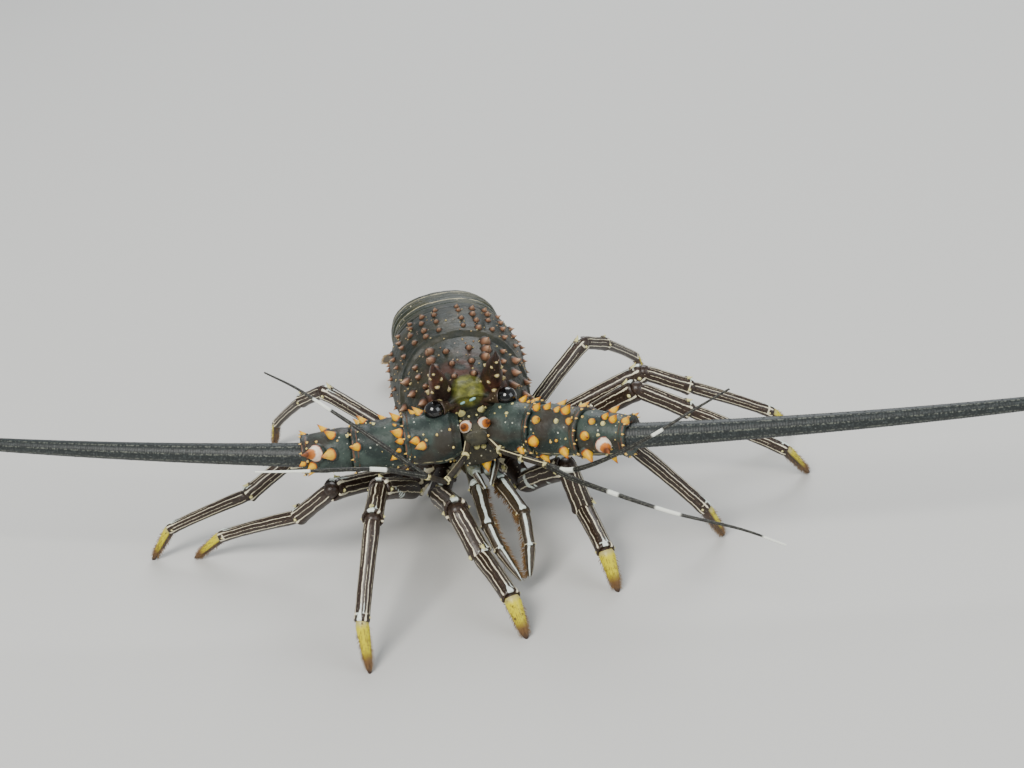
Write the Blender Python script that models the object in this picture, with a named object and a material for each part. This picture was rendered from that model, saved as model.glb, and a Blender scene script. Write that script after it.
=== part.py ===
# Spiny lobster, life size, standing on its ten legs with both antennae held out sideways.
# The animal faces -Y, its left side is +X and the floor is z = 0. Sizes below are millimetres.

import math
import random

import bmesh
import bpy
from mathutils import Matrix, Vector

MM = 0.001
GAP = 0.3
LEFT, RIGHT = 1, -1
SIDE_NAME = {LEFT: "left", RIGHT: "right"}
UP = Vector((0, 0, 1))

# Driving sizes of the animal
CARAPACE_LENGTH = 100
FRONT_Y = -CARAPACE_LENGTH / 2
REAR_Y = CARAPACE_LENGTH / 2
BELLY_Z = 42
WIDEST_Z = 66
CHEST_Z = 30
CHEST_MIDDLE_Z = 36.5
BODY_SIDES = 28
LIMB_SIDES = 9
WHIP_SIDES = 6

# Carapace stations from front to rear: y, half width, top height, belly height
CARAPACE_STATIONS = (
    (FRONT_Y, 19, 89, 60),
    (FRONT_Y + 3, 23, 92, 56),
    (-38, 28, 97, 51),
    (-24, 32.5, 101.5, BELLY_Z + 1),
    (-10, 34.5, 103, BELLY_Z),
    (-5, 33.8, 101.4, BELLY_Z),
    (0, 34.8, 103.2, BELLY_Z),
    (14, 37, 104.5, BELLY_Z),
    (28, 37.5, 104, BELLY_Z),
    (40, 36, 102, BELLY_Z + 0.5),
    (44, 34, 99.5, BELLY_Z + 1.5),
    (46.5, 35.2, 101.2, BELLY_Z + 1),
    (REAR_Y, 34.2, 100, BELLY_Z + 2),
)
SHELL_SQUARENESS = 2.25

# Walking legs, front pair first: root x, y, z, then the lengths of the ischium, merus, carpus,
# propodus and dactyl, then the half thickness of the merus and of the propodus
LEG_ROOTS = ((15, -12, 36), (18, 0, 35), (20, 12, 34), (22, 24, 34.5), (22, 36, 36))
LEG_LENGTHS = (
    (22, 50, 25, 36, 20),
    (25, 62, 29, 50, 24),
    (26, 66, 31, 56, 24),
    (25, 60, 28, 52, 23),
    (23, 48, 25, 42, 20),
)
LEG_THICKNESS = ((6.4, 5.2), (5.9, 4.2), (5.7, 3.9), (5.4, 3.7), (4.8, 3.3))
# How each leg stands: turn from straight ahead outwards and rise, in degrees, of the ischium,
# merus, carpus and dactyl, and the turn of the propodus, whose slope brings the tip to the floor
LEG_POSES = {
    LEFT: (
        ((27, -39), (26.3, 30.5), (70, -77), (10, -58), 5.5),
        ((49, -4), (24.7, 38.1), (40, -25), (125, -62), 75),
        ((75, -14), (54, 33.1), (79, -31), (112, -54), 76),
        ((75, -4), (77.7, 23.7), (84, -28), (112, -50), 92),
        ((117, -13), (122.3, 27.9), (136, -26), (142, -64), 140),
    ),
    RIGHT: (
        ((25, -27), (-7.6, 18), (-27.6, -50), (-16, -55), -15),
        ((53, -26), (18.6, 30.2), (10, 0), (4, -62), 22),
        ((71, -22), (34.1, 23.5), (124, -37), (112, -36), 122),
        ((76, -12), (69.6, 19.5), (82, -28), (100, -52), 106),
        ((119, -14), (125.4, 28.5), (140, -26), (146, -64), 144),
    ),
}

# Antennal peduncles: where each starts, its turn outwards from straight ahead and its rise,
# then for each of the three segments its length and half thickness at both ends
PEDUNCLE_START = (12, -54, 72)
PEDUNCLE_TURN = {LEFT: 52, RIGHT: 92}
PEDUNCLE_RISE = {LEFT: 3, RIGHT: 3}
PEDUNCLE_SEGMENTS = ((24, 13.6, 13.2), (26, 13.0, 11.8), (25, 11.5, 9.6))
WHIP_LENGTH = 400
WHIP_ROOT = 6.3
WHIP_TIP = 0.6
# The whip bends away from the peduncle: turn and rise at its root, then at its tip
WHIP_BEND = {LEFT: ((74, -1), (84, 2)), RIGHT: ((106, 5), (124, 2))}

# Antennules: the stalk's joints, then each flagellum's, as points ahead of the antennular plate
ANTENNULE_STALK = {
    LEFT: ((5, -62, 71), (10, -73, 67.5), (19, -86, 68), (29, -97, 67.5)),
    RIGHT: ((-5, -62, 71), (-8, -71, 67), (-20, -84, 65.5), (-29, -92, 72)),
}
ANTENNULE_LASHES = {
    LEFT: (
        (
            (29, -97, 67.5),
            (38, -107, 68),
            (53, -121, 77.5),
            (74, -131, 90),
            (93, -134, 100),
            (112, -133, 107),
        ),
        (
            (29, -97, 67.5),
            (37, -111, 66.5),
            (51, -130, 66),
            (76, -152, 61),
            (103, -166, 54),
            (121, -174, 46),
        ),
    ),
    RIGHT: (
        (
            (-29, -92, 72),
            (-41, -91, 86),
            (-54, -83, 97),
            (-68, -74, 108),
            (-82, -62, 117),
            (-96, -50, 123),
        ),
        (
            (-29, -92, 72),
            (-48, -100, 84),
            (-65, -104, 90),
            (-84, -105, 94),
            (-106, -102, 97),
        ),
    ),
}
LASH_ROOT, LASH_TIP = 1.5, 0.45

# Third maxillipeds, the pair of short limbs that hang before the mouth
MOUTH_LIMB = {
    LEFT: ((4, -30, 38.5), (9, -52, 38), (15.5, -80, 34), (15, -90, 21), (12, -99, 9)),
    RIGHT: ((-4, -30, 38.5), (-3.6, -52, 37.5), (-3, -80, 30.5), (0, -92, 23), (7, -105, 12)),
}

# Abdomen: length, half width, half height and downward slope in degrees of each segment
ABDOMEN_SEGMENTS = (
    (17, 31, 22, 6),
    (23, 31.5, 21.5, 11),
    (23, 30.5, 20.5, 17),
    (23, 29, 19.5, 22),
    (23, 27, 18, 26),
    (21, 24, 15, 29),
)
ABDOMEN_START = Vector((0, REAR_Y - 1.5, 77))
# Tail fan blades: name, sideways turn in degrees, drop below the telson, length, half width
FAN_BLADES = (
    ("uropod_{}_inner", 20, 3.8, 50, 12),
    ("uropod_{}_outer", 43, 8.0, 47, 13),
)
TELSON_SIZE = (50, 12.5)
FAN_SLOPE = 27
FAN_THICKNESS = 1.7
FAN_SWEEP = 6

# Spines in rows along the carapace: angle down from the midline of the back, length, and the y
# of each. Every row stands on both sides
CARAPACE_SPINES = (
    (8, 4.4, (-39, -30, -19)),
    (23, 7.0, (-28, -20, -12)),
    (40, 4.4, (-34, -25, -16)),
    (55, 6.2, (-38, -28, -17)),
    (74, 5.0, (-33, -22)),
    (92, 4.0, (-26, -14)),
    (8, 3.8, (6, 17, 29, 39)),
    (20, 4.4, (4, 13, 23, 34)),
    (33, 4.0, (7, 18, 29, 38)),
    (46, 3.8, (4, 14, 24, 35)),
    (60, 3.6, (8, 19, 30)),
    (76, 3.2, (5, 16, 27, 37)),
    (94, 3.0, (10, 24, 36)),
)
# Spines on the antenna segments: angle from the top towards the front, the share of the
# segment's length at which each stands, and half thickness. Those behind stand on both sides
SEGMENT_SPINES = {
    LEFT: {
        "base": ((-20, 0.62, 2.0), (116, 0.77, 2.0)),
        "arm": (
            (4, 0.27, 2.0),
            (10, 0.51, 1.8),
            (10, 0.69, 2.6),
            (38, 0.85, 1.9),
            (42, 0.17, 2.2),
            (90, 0.14, 2.7),
            (114, 0.71, 2.6),
            (148, 0.17, 2.4),
        ),
        "wrist": (
            (12, 0.53, 1.8),
            (18, 0.74, 2.1),
            (32, 0.31, 1.8),
            (70, 0.21, 2.4),
            (92, 0.59, 3.7),
            (122, 0.20, 2.8),
            (146, 0.63, 2.0),
        ),
    },
    RIGHT: {
        "base": ((-10, 0.64, 2.3), (66, 0.75, 2.2), (90, 0.60, 2.2)),
        "arm": (
            (-24, 0.71, 2.2),
            (-4, 0.15, 2.2),
            (44, 0.15, 2.4),
            (62, 0.85, 2.0),
            (96, 0.19, 1.8),
        ),
        "wrist": (
            (-22, 0.88, 1.6),
            (20, 0.35, 2.4),
            (64, 0.68, 3.7),
            (74, 0.36, 2.6),
            (104, 0.79, 2.2),
        ),
    },
}
REAR_SPINES = {
    "base": ((-48, 0.70, 2.1),),
    "arm": ((-46, 0.32, 2.1), (-46, 0.80, 2.1), (-100, 0.55, 1.8)),
    "wrist": ((-38, 0.50, 2.2), (-62, 0.84, 2.0), (-95, 0.45, 2.0), (-110, 0.84, 1.8)),
}
# Spines of the antennular plate: x, y, z, length and half thickness, turn outwards and rise
PLATE_SPINES = (((4.6, -60, 77.5), 11.5, 3.3, 14, 27), ((4.9, -51, 80.5), 7.0, 2.0, 12, 55))
SPINE_SLIMNESS = 2.4

FLOOR_SLAB = (900, 20)

parts = bpy.data.collections.new("spiny_lobster")
cutters = bpy.data.collections.new("cutters")


# Materials

def material(name, colour, roughness, metallic=0.0):
    made = bpy.data.materials.new(name)
    made.use_nodes = True
    shader = made.node_tree.nodes["Principled BSDF"]
    shader.inputs["Base Color"].default_value = (*colour, 1)
    shader.inputs["Roughness"].default_value = roughness
    shader.inputs["Metallic"].default_value = metallic
    return made


def make_materials():
    return {
        "shell": material("shell", (0.035, 0.05, 0.042), 0.42),
        "underside": material("underside", (0.16, 0.15, 0.10), 0.5),
        "antenna": material("antenna", (0.04, 0.055, 0.055), 0.45),
        "whip": material("whip", (0.03, 0.04, 0.038), 0.5),
        "leg": material("leg", (0.045, 0.038, 0.028), 0.4),
        "mouth": material("mouth", (0.20, 0.21, 0.14), 0.45),
        "eye": material("eye", (0.008, 0.008, 0.009), 0.08),
        "abdomen": material("abdomen", (0.04, 0.05, 0.038), 0.4),
        "fan": material("fan", (0.07, 0.07, 0.045), 0.5),
    }


# Mesh helpers

def finish_mesh(name, mesh_builder, finish):
    """Turns a bmesh in millimetres into a named object in metres."""
    bmesh.ops.recalc_face_normals(mesh_builder, faces=mesh_builder.faces)
    bmesh.ops.scale(mesh_builder, vec=(MM, MM, MM), verts=mesh_builder.verts)
    mesh = bpy.data.meshes.new(name)
    mesh_builder.to_mesh(mesh)
    mesh_builder.free()
    mesh.materials.append(finish)
    made = bpy.data.objects.new(name, mesh)
    parts.objects.link(made)
    return made


def skin_between(mesh_builder, rings):
    """Joins rings of points by triangles and closes both ends."""
    loops = [[mesh_builder.verts.new(point) for point in ring] for ring in rings]
    count = len(loops[0])
    for near, far in zip(loops, loops[1:]):
        for i in range(count):
            j = (i + 1) % count
            mesh_builder.faces.new((near[i], near[j], far[j]))
            mesh_builder.faces.new((near[i], far[j], far[i]))
    for loop in (loops[0], loops[-1]):
        middle = mesh_builder.verts.new(sum((v.co for v in loop), Vector()) / count)
        for i in range(count):
            mesh_builder.faces.new((loop[i], loop[(i + 1) % count], middle))


def loft(name, rings, finish):
    mesh_builder = bmesh.new()
    skin_between(mesh_builder, rings)
    return finish_mesh(name, mesh_builder, finish)


def rounded_ring(centre, across, upwards, half_width, half_up, half_down, squareness, sides):
    """A ring with a rounded-box outline, whose upper and lower halves may differ in height."""
    ring = []
    for i in range(sides):
        angle = 2 * math.pi * (i + 0.5) / sides
        x, z = math.cos(angle), math.sin(angle)
        x = math.copysign(abs(x) ** (2 / squareness), x) * half_width
        z = math.copysign(abs(z) ** (2 / squareness), z) * (half_up if z > 0 else half_down)
        ring.append(centre + across * x + upwards * z)
    return ring


def limb_frames(points):
    """Tangent, sideways and upward axes at each point, carried along without twist."""
    tangents = []
    for i, point in enumerate(points):
        before = points[max(i - 1, 0)]
        after = points[min(i + 1, len(points) - 1)]
        tangents.append((after - before).normalized())
    across = tangents[0].cross(UP).normalized()
    frames = []
    for i, tangent in enumerate(tangents):
        if i:
            across = tangents[i - 1].rotation_difference(tangent) @ across
        frames.append((tangent, across, across.cross(tangent).normalized()))
    return frames


def limb(name, stations, finish, sides=LIMB_SIDES):
    """A jointed tube. Each station is a point, its half width and its half height."""
    points = [Vector(station[0]) for station in stations]
    rings = []
    for (_, half_width, half_height), point, frame in zip(stations, points, limb_frames(points)):
        rings.append(
            rounded_ring(point, frame[1], frame[2], half_width, half_height, half_height, 2, sides)
        )
    return loft(name, rings, finish)


def heading(turn, rise, side):
    """Unit vector turned outwards from straight ahead (-Y) and raised, both in degrees."""
    turn, rise = math.radians(turn), math.radians(rise)
    flat = math.cos(rise)
    return Vector((side * math.sin(turn) * flat, -math.cos(turn) * flat, math.sin(rise)))


def spine(root, direction, length, radius, finish, sides=5):
    """A horn-like cone with its root sunk into the shell."""
    mesh_builder = bmesh.new()
    bmesh.ops.create_cone(
        mesh_builder, cap_ends=True, segments=sides, radius1=radius, radius2=0, depth=length * 1.35
    )
    turn = UP.rotation_difference(direction).to_matrix().to_4x4()
    place = Matrix.Translation(root + direction * (length * 0.325)) @ turn
    bmesh.ops.transform(mesh_builder, matrix=place, verts=mesh_builder.verts)
    return finish_mesh("spine", mesh_builder, finish)


def keep_largest(made):
    """Drops every loose scrap but the largest closed surface."""
    mesh_builder = bmesh.new()
    mesh_builder.from_mesh(made.data)
    unseen = set(mesh_builder.verts)
    islands = []
    while unseen:
        stack = [unseen.pop()]
        island = set(stack)
        while stack:
            for edge in stack.pop().link_edges:
                for vertex in edge.verts:
                    if vertex in unseen:
                        unseen.remove(vertex)
                        island.add(vertex)
                        stack.append(vertex)
        islands.append(island)
    islands.sort(key=len)
    for island in islands[:-1]:
        bmesh.ops.delete(mesh_builder, geom=list(island), context="VERTS")
    mesh_builder.to_mesh(made.data)
    mesh_builder.free()


def apply_boolean(made, operation, operand, solver):
    """Adds one Boolean with an object or a collection, and applies it."""
    modifier = made.modifiers.new(operation.lower(), "BOOLEAN")
    modifier.operation = operation
    modifier.solver = solver
    if isinstance(operand, bpy.types.Collection):
        modifier.operand_type = "COLLECTION"
        modifier.collection = operand
    else:
        modifier.object = operand
    graph = bpy.context.evaluated_depsgraph_get()
    graph.update()
    cut = bpy.data.meshes.new_from_object(made.evaluated_get(graph))
    made.modifiers.remove(modifier)
    made.data = cut
    keep_largest(made)


def fuse(made, pieces):
    """Joins pieces to an object with one union, and removes them."""
    if not pieces:
        return made
    group = bpy.data.collections.new(made.name + "_pieces")
    bpy.context.scene.collection.children.link(group)
    for piece in pieces:
        parts.objects.unlink(piece)
        group.objects.link(piece)
    apply_boolean(made, "UNION", group, "MANIFOLD")
    for piece in pieces:
        bpy.data.objects.remove(piece)
    bpy.data.collections.remove(group)
    return made


def cut_clear(made, *neighbours):
    """Cuts an object back to a face that stands GAP off each neighbour that it meets."""
    for neighbour in neighbours:
        mesh_builder = bmesh.new()
        mesh_builder.from_mesh(neighbour.data)
        mesh_builder.normal_update()
        shifts = []
        for vertex in mesh_builder.verts:
            shifts.append(vertex.normal * (GAP * MM * vertex.calc_shell_factor()))
        for vertex, shift in zip(mesh_builder.verts, shifts):
            vertex.co += shift
        mesh = bpy.data.meshes.new("swollen")
        mesh_builder.to_mesh(mesh)
        mesh_builder.free()
        cutter = bpy.data.objects.new("swollen", mesh)
        cutter.hide_render = True
        cutter.display_type = "WIRE"
        cutters.objects.link(cutter)
        apply_boolean(made, "DIFFERENCE", cutter, "MANIFOLD")
        bpy.data.objects.remove(cutter)
    return made


# Carapace, horns, head plate and eyes

def make_carapace(finishes):
    rings = []
    for y, half_width, top, belly in CARAPACE_STATIONS:
        rings.append(
            rounded_ring(
                Vector((0, y, WIDEST_Z)),
                Vector((1, 0, 0)),
                UP,
                half_width,
                top - WIDEST_Z,
                WIDEST_Z - belly,
                SHELL_SQUARENESS,
                BODY_SIDES,
            )
        )
    return loft("carapace", rings, finishes["shell"])


def carapace_surface(y, angle, side):
    """Point and outward normal of the carapace, at an angle down from the midline of the back."""
    for near, far in zip(CARAPACE_STATIONS, CARAPACE_STATIONS[1:]):
        if near[0] <= y <= far[0]:
            break
    share = (y - near[0]) / (far[0] - near[0])
    half_width, top, belly = (a + (b - a) * share for a, b in zip(near[1:], far[1:]))
    x, z = math.sin(math.radians(angle)), math.cos(math.radians(angle))
    half_height = top - WIDEST_Z if z > 0 else WIDEST_Z - belly
    x = x ** (2 / SHELL_SQUARENESS)
    z = math.copysign(abs(z) ** (2 / SHELL_SQUARENESS), z)
    power = SHELL_SQUARENESS - 1
    normal = Vector((x**power / half_width * side, 0, math.copysign(abs(z) ** power, z) / half_height))
    return Vector((x * half_width * side, y, WIDEST_Z + z * half_height)), normal.normalized()


def add_carapace_spines(carapace, finishes):
    chance = random.Random(11)
    spines = []
    for side in (LEFT, RIGHT):
        for angle, length, places in CARAPACE_SPINES:
            for y in places:
                shifted = y + chance.uniform(-1, 1)
                root, normal = carapace_surface(shifted, angle + chance.uniform(-1, 1), side)
                size = length * chance.uniform(0.92, 1.08)
                way = (normal * 0.62 + Vector((0, -0.78, 0))).normalized()
                spines.append(spine(root, way, size, size / SPINE_SLIMNESS, finishes["shell"]))
    fuse(carapace, spines)


def make_sternum(finishes, carapace):
    """The chest plate under the carapace, wider towards the rear, between the leg roots."""
    rings = []
    for y, half_width in ((-24, 6), (-20, 9), (10, 13), (38, 17), (45, 14)):
        middle = Vector((0, y, CHEST_MIDDLE_Z))
        depth = CHEST_MIDDLE_Z - CHEST_Z
        rings.append(rounded_ring(middle, Vector((1, 0, 0)), UP, half_width, 8, depth, 4, 12))
    sternum = loft("sternum", rings, finishes["underside"])
    return cut_clear(sternum, carapace)


def make_epistome(finishes, carapace, sternum):
    """The block between the antennae and the mouth, with its middle tooth and the two mandibles."""
    rings = []
    for y, half_width, top, bottom in (
        (-28, 9, 60, 50.5),
        (-40, 15, 64, 51),
        (-50, 14, 67, 52),
        (-57, 11, 68, 55),
        (-61, 8, 67, 57),
    ):
        middle = (top + bottom) / 2
        half = (top - bottom) / 2
        rings.append(
            rounded_ring(Vector((0, y, middle)), Vector((1, 0, 0)), UP, half_width, half, half, 3, 14)
        )
    epistome = loft("epistome", rings, finishes["mouth"])
    mandibles = []
    for side in (LEFT, RIGHT):
        mandible = limb(
            "mandible",
            (
                ((side * 3.9, -42, 52), 3.6, 3.8),
                ((side * 4, -50, 49.5), 3.8, 4),
                ((side * 3.2, -56, 48.5), 2.6, 3),
            ),
            finishes["mouth"],
            8,
        )
        mandibles.append(mandible)
    tooth = spine(Vector((0, -60, 58)), heading(0, -5, LEFT), 6, 3, finishes["mouth"], 6)
    fuse(epistome, mandibles + [tooth])
    return cut_clear(epistome, carapace, sternum)


def make_plate(finishes, carapace, epistome):
    """The antennular plate between the antennae."""
    rings = []
    for y, half_width, top, bottom in (
        (-44, 9.5, 82, 66),
        (-52, 9, 81.5, 66),
        (-61, 7.4, 79, 67),
        (-64, 5.5, 76.5, 69),
    ):
        middle = (top + bottom) / 2
        half = (top - bottom) / 2
        rings.append(
            rounded_ring(Vector((0, y, middle)), Vector((1, 0, 0)), UP, half_width, half, half, 3, 14)
        )
    plate = loft("antennular_plate", rings, finishes["antenna"])
    spines = []
    for side in (LEFT, RIGHT):
        for (x, y, z), length, radius, turn, rise in PLATE_SPINES:
            root = Vector((side * x, y, z))
            way = heading(turn, rise, side)
            spines.append(spine(root, way, length, radius, finishes["antenna"], 7))
    fuse(plate, spines)
    return cut_clear(plate, carapace, epistome)


HORN_POINTS = ((13, -40, 88), (13.6, -46, 96), (14.6, -54, 104.5), (15.4, -61, 111.5), (15.6, -65, 117))
HORN_SIZES = ((6, 7.5), (5.2, 6.6), (3.8, 4.8), (2.1, 2.6), (0.5, 0.5))


def make_horn(side, finishes, carapace):
    stations = [
        ((side * x, y, z), half_width, half_height)
        for (x, y, z), (half_width, half_height) in zip(HORN_POINTS, HORN_SIZES)
    ]
    horn = limb("horn_" + SIDE_NAME[side], stations, finishes["shell"], 10)
    return cut_clear(horn, carapace)


EYE_CENTRE = (18.5, -54, 87)
EYE_RADIUS = 5.0


def make_eye(side, finishes, carapace, horn, plate):
    """An eye on its short stalk, which comes out beside the antennular plate."""
    centre = Vector((side * EYE_CENTRE[0], EYE_CENTRE[1], EYE_CENTRE[2]))
    stalk_root = Vector((side * 7, -46, 85))
    eye = limb(
        "eye_" + SIDE_NAME[side],
        ((stalk_root, 2.6, 2.6), (stalk_root.lerp(centre, 0.55), 3.0, 3.0), (centre, 3.4, 3.4)),
        finishes["eye"],
        8,
    )
    mesh_builder = bmesh.new()
    bmesh.ops.create_icosphere(mesh_builder, subdivisions=2, radius=EYE_RADIUS)
    bmesh.ops.translate(mesh_builder, vec=centre, verts=mesh_builder.verts)
    ball = finish_mesh("eyeball", mesh_builder, finishes["eye"])
    fuse(eye, [ball])
    return cut_clear(eye, carapace, horn, plate)


# Antennae

def make_peduncle(side, finishes, roots):
    """The three thick segments of an antenna, each cut to sit against the one before."""
    direction = heading(PEDUNCLE_TURN[side], PEDUNCLE_RISE[side], side)
    start = Vector((side * PEDUNCLE_START[0], PEDUNCLE_START[1], PEDUNCLE_START[2]))
    made = []
    starts = []
    for name, (length, near, far) in zip(("base", "arm", "wrist"), PEDUNCLE_SEGMENTS):
        starts.append(start)
        end = start + direction * length
        stations = (
            (start - direction * 4, near * 0.72, near * 0.72),
            (start, near * 0.88, near * 0.88),
            (start + direction * length * 0.2, near, near),
            (start + direction * length * 0.75, (near + far) / 2, (near + far) / 2),
            (end - direction * 1.5, far * 1.04, far * 1.04),
            (end, far * 0.9, far * 0.9),
        )
        segment = limb(f"antenna_{SIDE_NAME[side]}_{name}", stations, finishes["antenna"], 14)
        cut_clear(segment, *(made[-1:] or roots))
        made.append(segment)
        start = end
    for segment, name, root, (length, near, far) in zip(made, REAR_SPINES, starts, PEDUNCLE_SEGMENTS):
        add_segment_spines(segment, name, side, root, direction, length, near, far, finishes["antenna"])
    return made, start


def add_segment_spines(segment, name, side, start, direction, length, near, far, finish):
    """Spines that stand out of an antenna segment and lean towards its far end."""
    upwards = (UP - direction * direction.z).normalized()
    forwards = direction.cross(upwards) * side
    spines = []
    for angle, share, radius in SEGMENT_SPINES[side][name] + REAR_SPINES[name]:
        turn = math.radians(angle)
        normal = upwards * math.cos(turn) + forwards * math.sin(turn)
        girth = near + (far - near) * share
        root = start + direction * (length * share) + normal * (girth * 0.97)
        way = (normal * 0.82 + direction * 0.57).normalized()
        spines.append(spine(root, way, radius * SPINE_SLIMNESS, radius, finish))
    fuse(segment, spines)


def make_whip(side, finishes, wrist, root):
    """The long lash of an antenna, in three lengths that follow one gentle curve."""
    (turn_near, rise_near), (turn_far, rise_far) = WHIP_BEND[side]
    steps = 24
    points = [root - heading(turn_near, rise_near, side) * 3]
    for i in range(steps + 1):
        share = i / steps
        turn = turn_near + (turn_far - turn_near) * share
        rise = rise_near + (rise_far - rise_near) * share
        points.append(points[-1] + heading(turn, rise, side) * ((WHIP_LENGTH + 3) / (steps + 1)))
    sizes = [WHIP_ROOT + (WHIP_TIP - WHIP_ROOT) * (i / (steps + 1)) ** 0.85 for i in range(steps + 2)]
    made = []
    before = wrist
    for number, (first, last) in enumerate(((0, 9), (9, 17), (17, steps + 1)), 1):
        run = [(points[i], sizes[i], sizes[i]) for i in range(first, last + 1)]
        length = limb(f"antenna_{SIDE_NAME[side]}_whip_{number}", run, finishes["whip"], WHIP_SIDES)
        cut_clear(length, before)
        made.append(length)
        before = length
    return made


def make_antennule(side, finishes, neighbours):
    """The thin, forked first feeler: a jointed stalk and its two lashes."""
    joints = [Vector(point) for point in ANTENNULE_STALK[side]]
    stations = [(joints[0] - (joints[1] - joints[0]) * 0.5, 2.4, 2.4)]
    for i, joint in enumerate(joints):
        size = (2.4, 2.1, 1.9, 1.8)[i]
        if 0 < i < len(joints) - 1:
            before = (joints[i - 1] - joint).normalized()
            stations.append((joint + before * 2, size * 1.12, size * 1.12))
        stations.append((joint, size, size))
    stalk = limb(f"antennule_{SIDE_NAME[side]}_stalk", stations, finishes["antenna"], WHIP_SIDES)
    cut_clear(stalk, *neighbours)
    made = [stalk]
    for name, points in zip(("inner", "outer"), ANTENNULE_LASHES[side]):
        route = smooth_route(points, 3)
        steps = len(route) - 1
        run = [
            (point, *([LASH_ROOT + (LASH_TIP - LASH_ROOT) * i / steps] * 2))
            for i, point in enumerate(route)
        ]
        lash = limb(f"antennule_{SIDE_NAME[side]}_{name}", run, finishes["whip"], 6)
        cut_clear(lash, *made)
        made.append(lash)
    return made


def smooth_route(points, steps):
    """Points on a smooth curve through the given ones."""
    points = [Vector(point) for point in points]
    padded = [points[0] * 2 - points[1], *points, points[-1] * 2 - points[-2]]
    route = []
    for a, b, c, d in zip(padded, padded[1:], padded[2:], padded[3:]):
        for i in range(steps):
            t = i / steps
            bend = (2 * a - 5 * b + 4 * c - d) * t**2
            twist = (3 * b - a - 3 * c + d) * t**3
            route.append(0.5 * (2 * b + (c - a) * t + bend + twist))
    return [*route, points[-1]]


def make_mouth_limb(side, finishes, neighbours):
    """A third maxilliped, bent down at its knee."""
    sizes = ((3.2, 4.0), (3.4, 4.6), (3.2, 3.8), (2.7, 3.0), (1.1, 1.1))
    stations = [(point, *size) for point, size in zip(MOUTH_LIMB[side], sizes)]
    made = limb("mouth_limb_" + SIDE_NAME[side], stations, finishes["mouth"], LIMB_SIDES)
    return cut_clear(made, *neighbours)


# Legs

def leg_joints(side, number):
    """Root, ischium end, knee, wrist, ankle and tip of a leg. The tip meets the floor."""
    x, y, z = LEG_ROOTS[number]
    ischium, merus, carpus, propodus, dactyl = LEG_LENGTHS[number]
    hip_way, thigh_way, shin_way, toe_way, foot_turn = LEG_POSES[side][number]
    joints = [Vector((side * x, y, z))]
    for length, way in ((ischium, hip_way), (merus, thigh_way), (carpus, shin_way)):
        joints.append(joints[-1] + heading(*way, side) * length)
    toe = heading(*toe_way, side) * dactyl
    slope = -math.degrees(math.asin((joints[-1].z + toe.z) / propodus))
    joints.append(joints[-1] + heading(foot_turn, slope, side) * propodus)
    joints.append(joints[-1] + toe)
    return joints


def between(a, b, share):
    return a.lerp(b, share)


def joint_spine(start, end, share, radius, length, finish):
    """The spine on top of a leg segment's far end."""
    direction = (end - start).normalized()
    upwards = (UP - direction * direction.z).normalized()
    root = between(start, end, share) + upwards * radius * 0.94
    way = (upwards * 0.5 + direction * 0.86).normalized()
    return spine(root, way, length, length / SPINE_SLIMNESS, finish)


def make_leg(side, number, finishes, neighbours):
    root, hip, knee, wrist, ankle, tip = leg_joints(side, number)
    merus, propodus = LEG_THICKNESS[number]
    name = f"leg_{SIDE_NAME[side]}_{number + 1}"
    inner = root + Vector((-side * 4, 0, 0))
    upper = limb(
        name + "_upper",
        (
            (inner, merus * 0.9, merus * 0.9),
            (root, merus * 1.06, merus * 1.06),
            (between(root, hip, 0.3), merus * 1.08, merus * 1.08),
            (between(root, hip, 0.42), merus * 0.9, merus * 0.9),
            (between(root, hip, 0.9), merus * 0.92, merus * 0.98),
            (hip, merus * 0.84, merus * 0.88),
            (between(hip, knee, 0.12), merus * 0.94, merus),
            (between(hip, knee, 0.6), merus * 0.92, merus),
            (between(hip, knee, 0.93), merus * 1.02, merus * 1.08),
            (knee, merus * 0.84, merus * 0.84),
        ),
        finishes["leg"],
    )
    cut_clear(upper, *neighbours)
    thigh_spines = [
        joint_spine(hip, knee, 0.93, merus, 5.0, finishes["leg"]),
        joint_spine(root, hip, 0.9, merus * 0.9, 3.2, finishes["leg"]),
    ]
    shin = (merus + propodus) / 2
    lower = limb(
        name + "_lower",
        (
            (between(knee, hip, 0.04), merus * 0.5, merus * 0.5),
            (between(knee, wrist, 0.06), shin * 0.86, shin * 0.86),
            (between(knee, wrist, 0.35), shin, shin),
            (between(knee, wrist, 0.86), shin * 1.02, shin * 1.02),
            (wrist, shin * 0.86, shin * 0.86),
            (between(wrist, ankle, 0.1), propodus, propodus * 1.04),
            (between(wrist, ankle, 0.7), propodus * 0.9, propodus * 0.92),
            (between(wrist, ankle, 0.94), propodus * 0.94, propodus * 0.96),
            (ankle, propodus * 0.76, propodus * 0.76),
            (between(ankle, tip, 0.15), propodus * 0.78, propodus * 0.8),
            (between(ankle, tip, 0.7), propodus * 0.5, propodus * 0.55),
            (tip + (tip - ankle).normalized() * 0.6, 1.0, 1.0),
        ),
        finishes["leg"],
    )
    cut_clear(lower, upper)
    fuse(upper, thigh_spines)
    fuse(lower, [joint_spine(knee, wrist, 0.86, shin, 4.0, finishes["leg"])])
    return upper, lower


# Abdomen and tail fan

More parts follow.
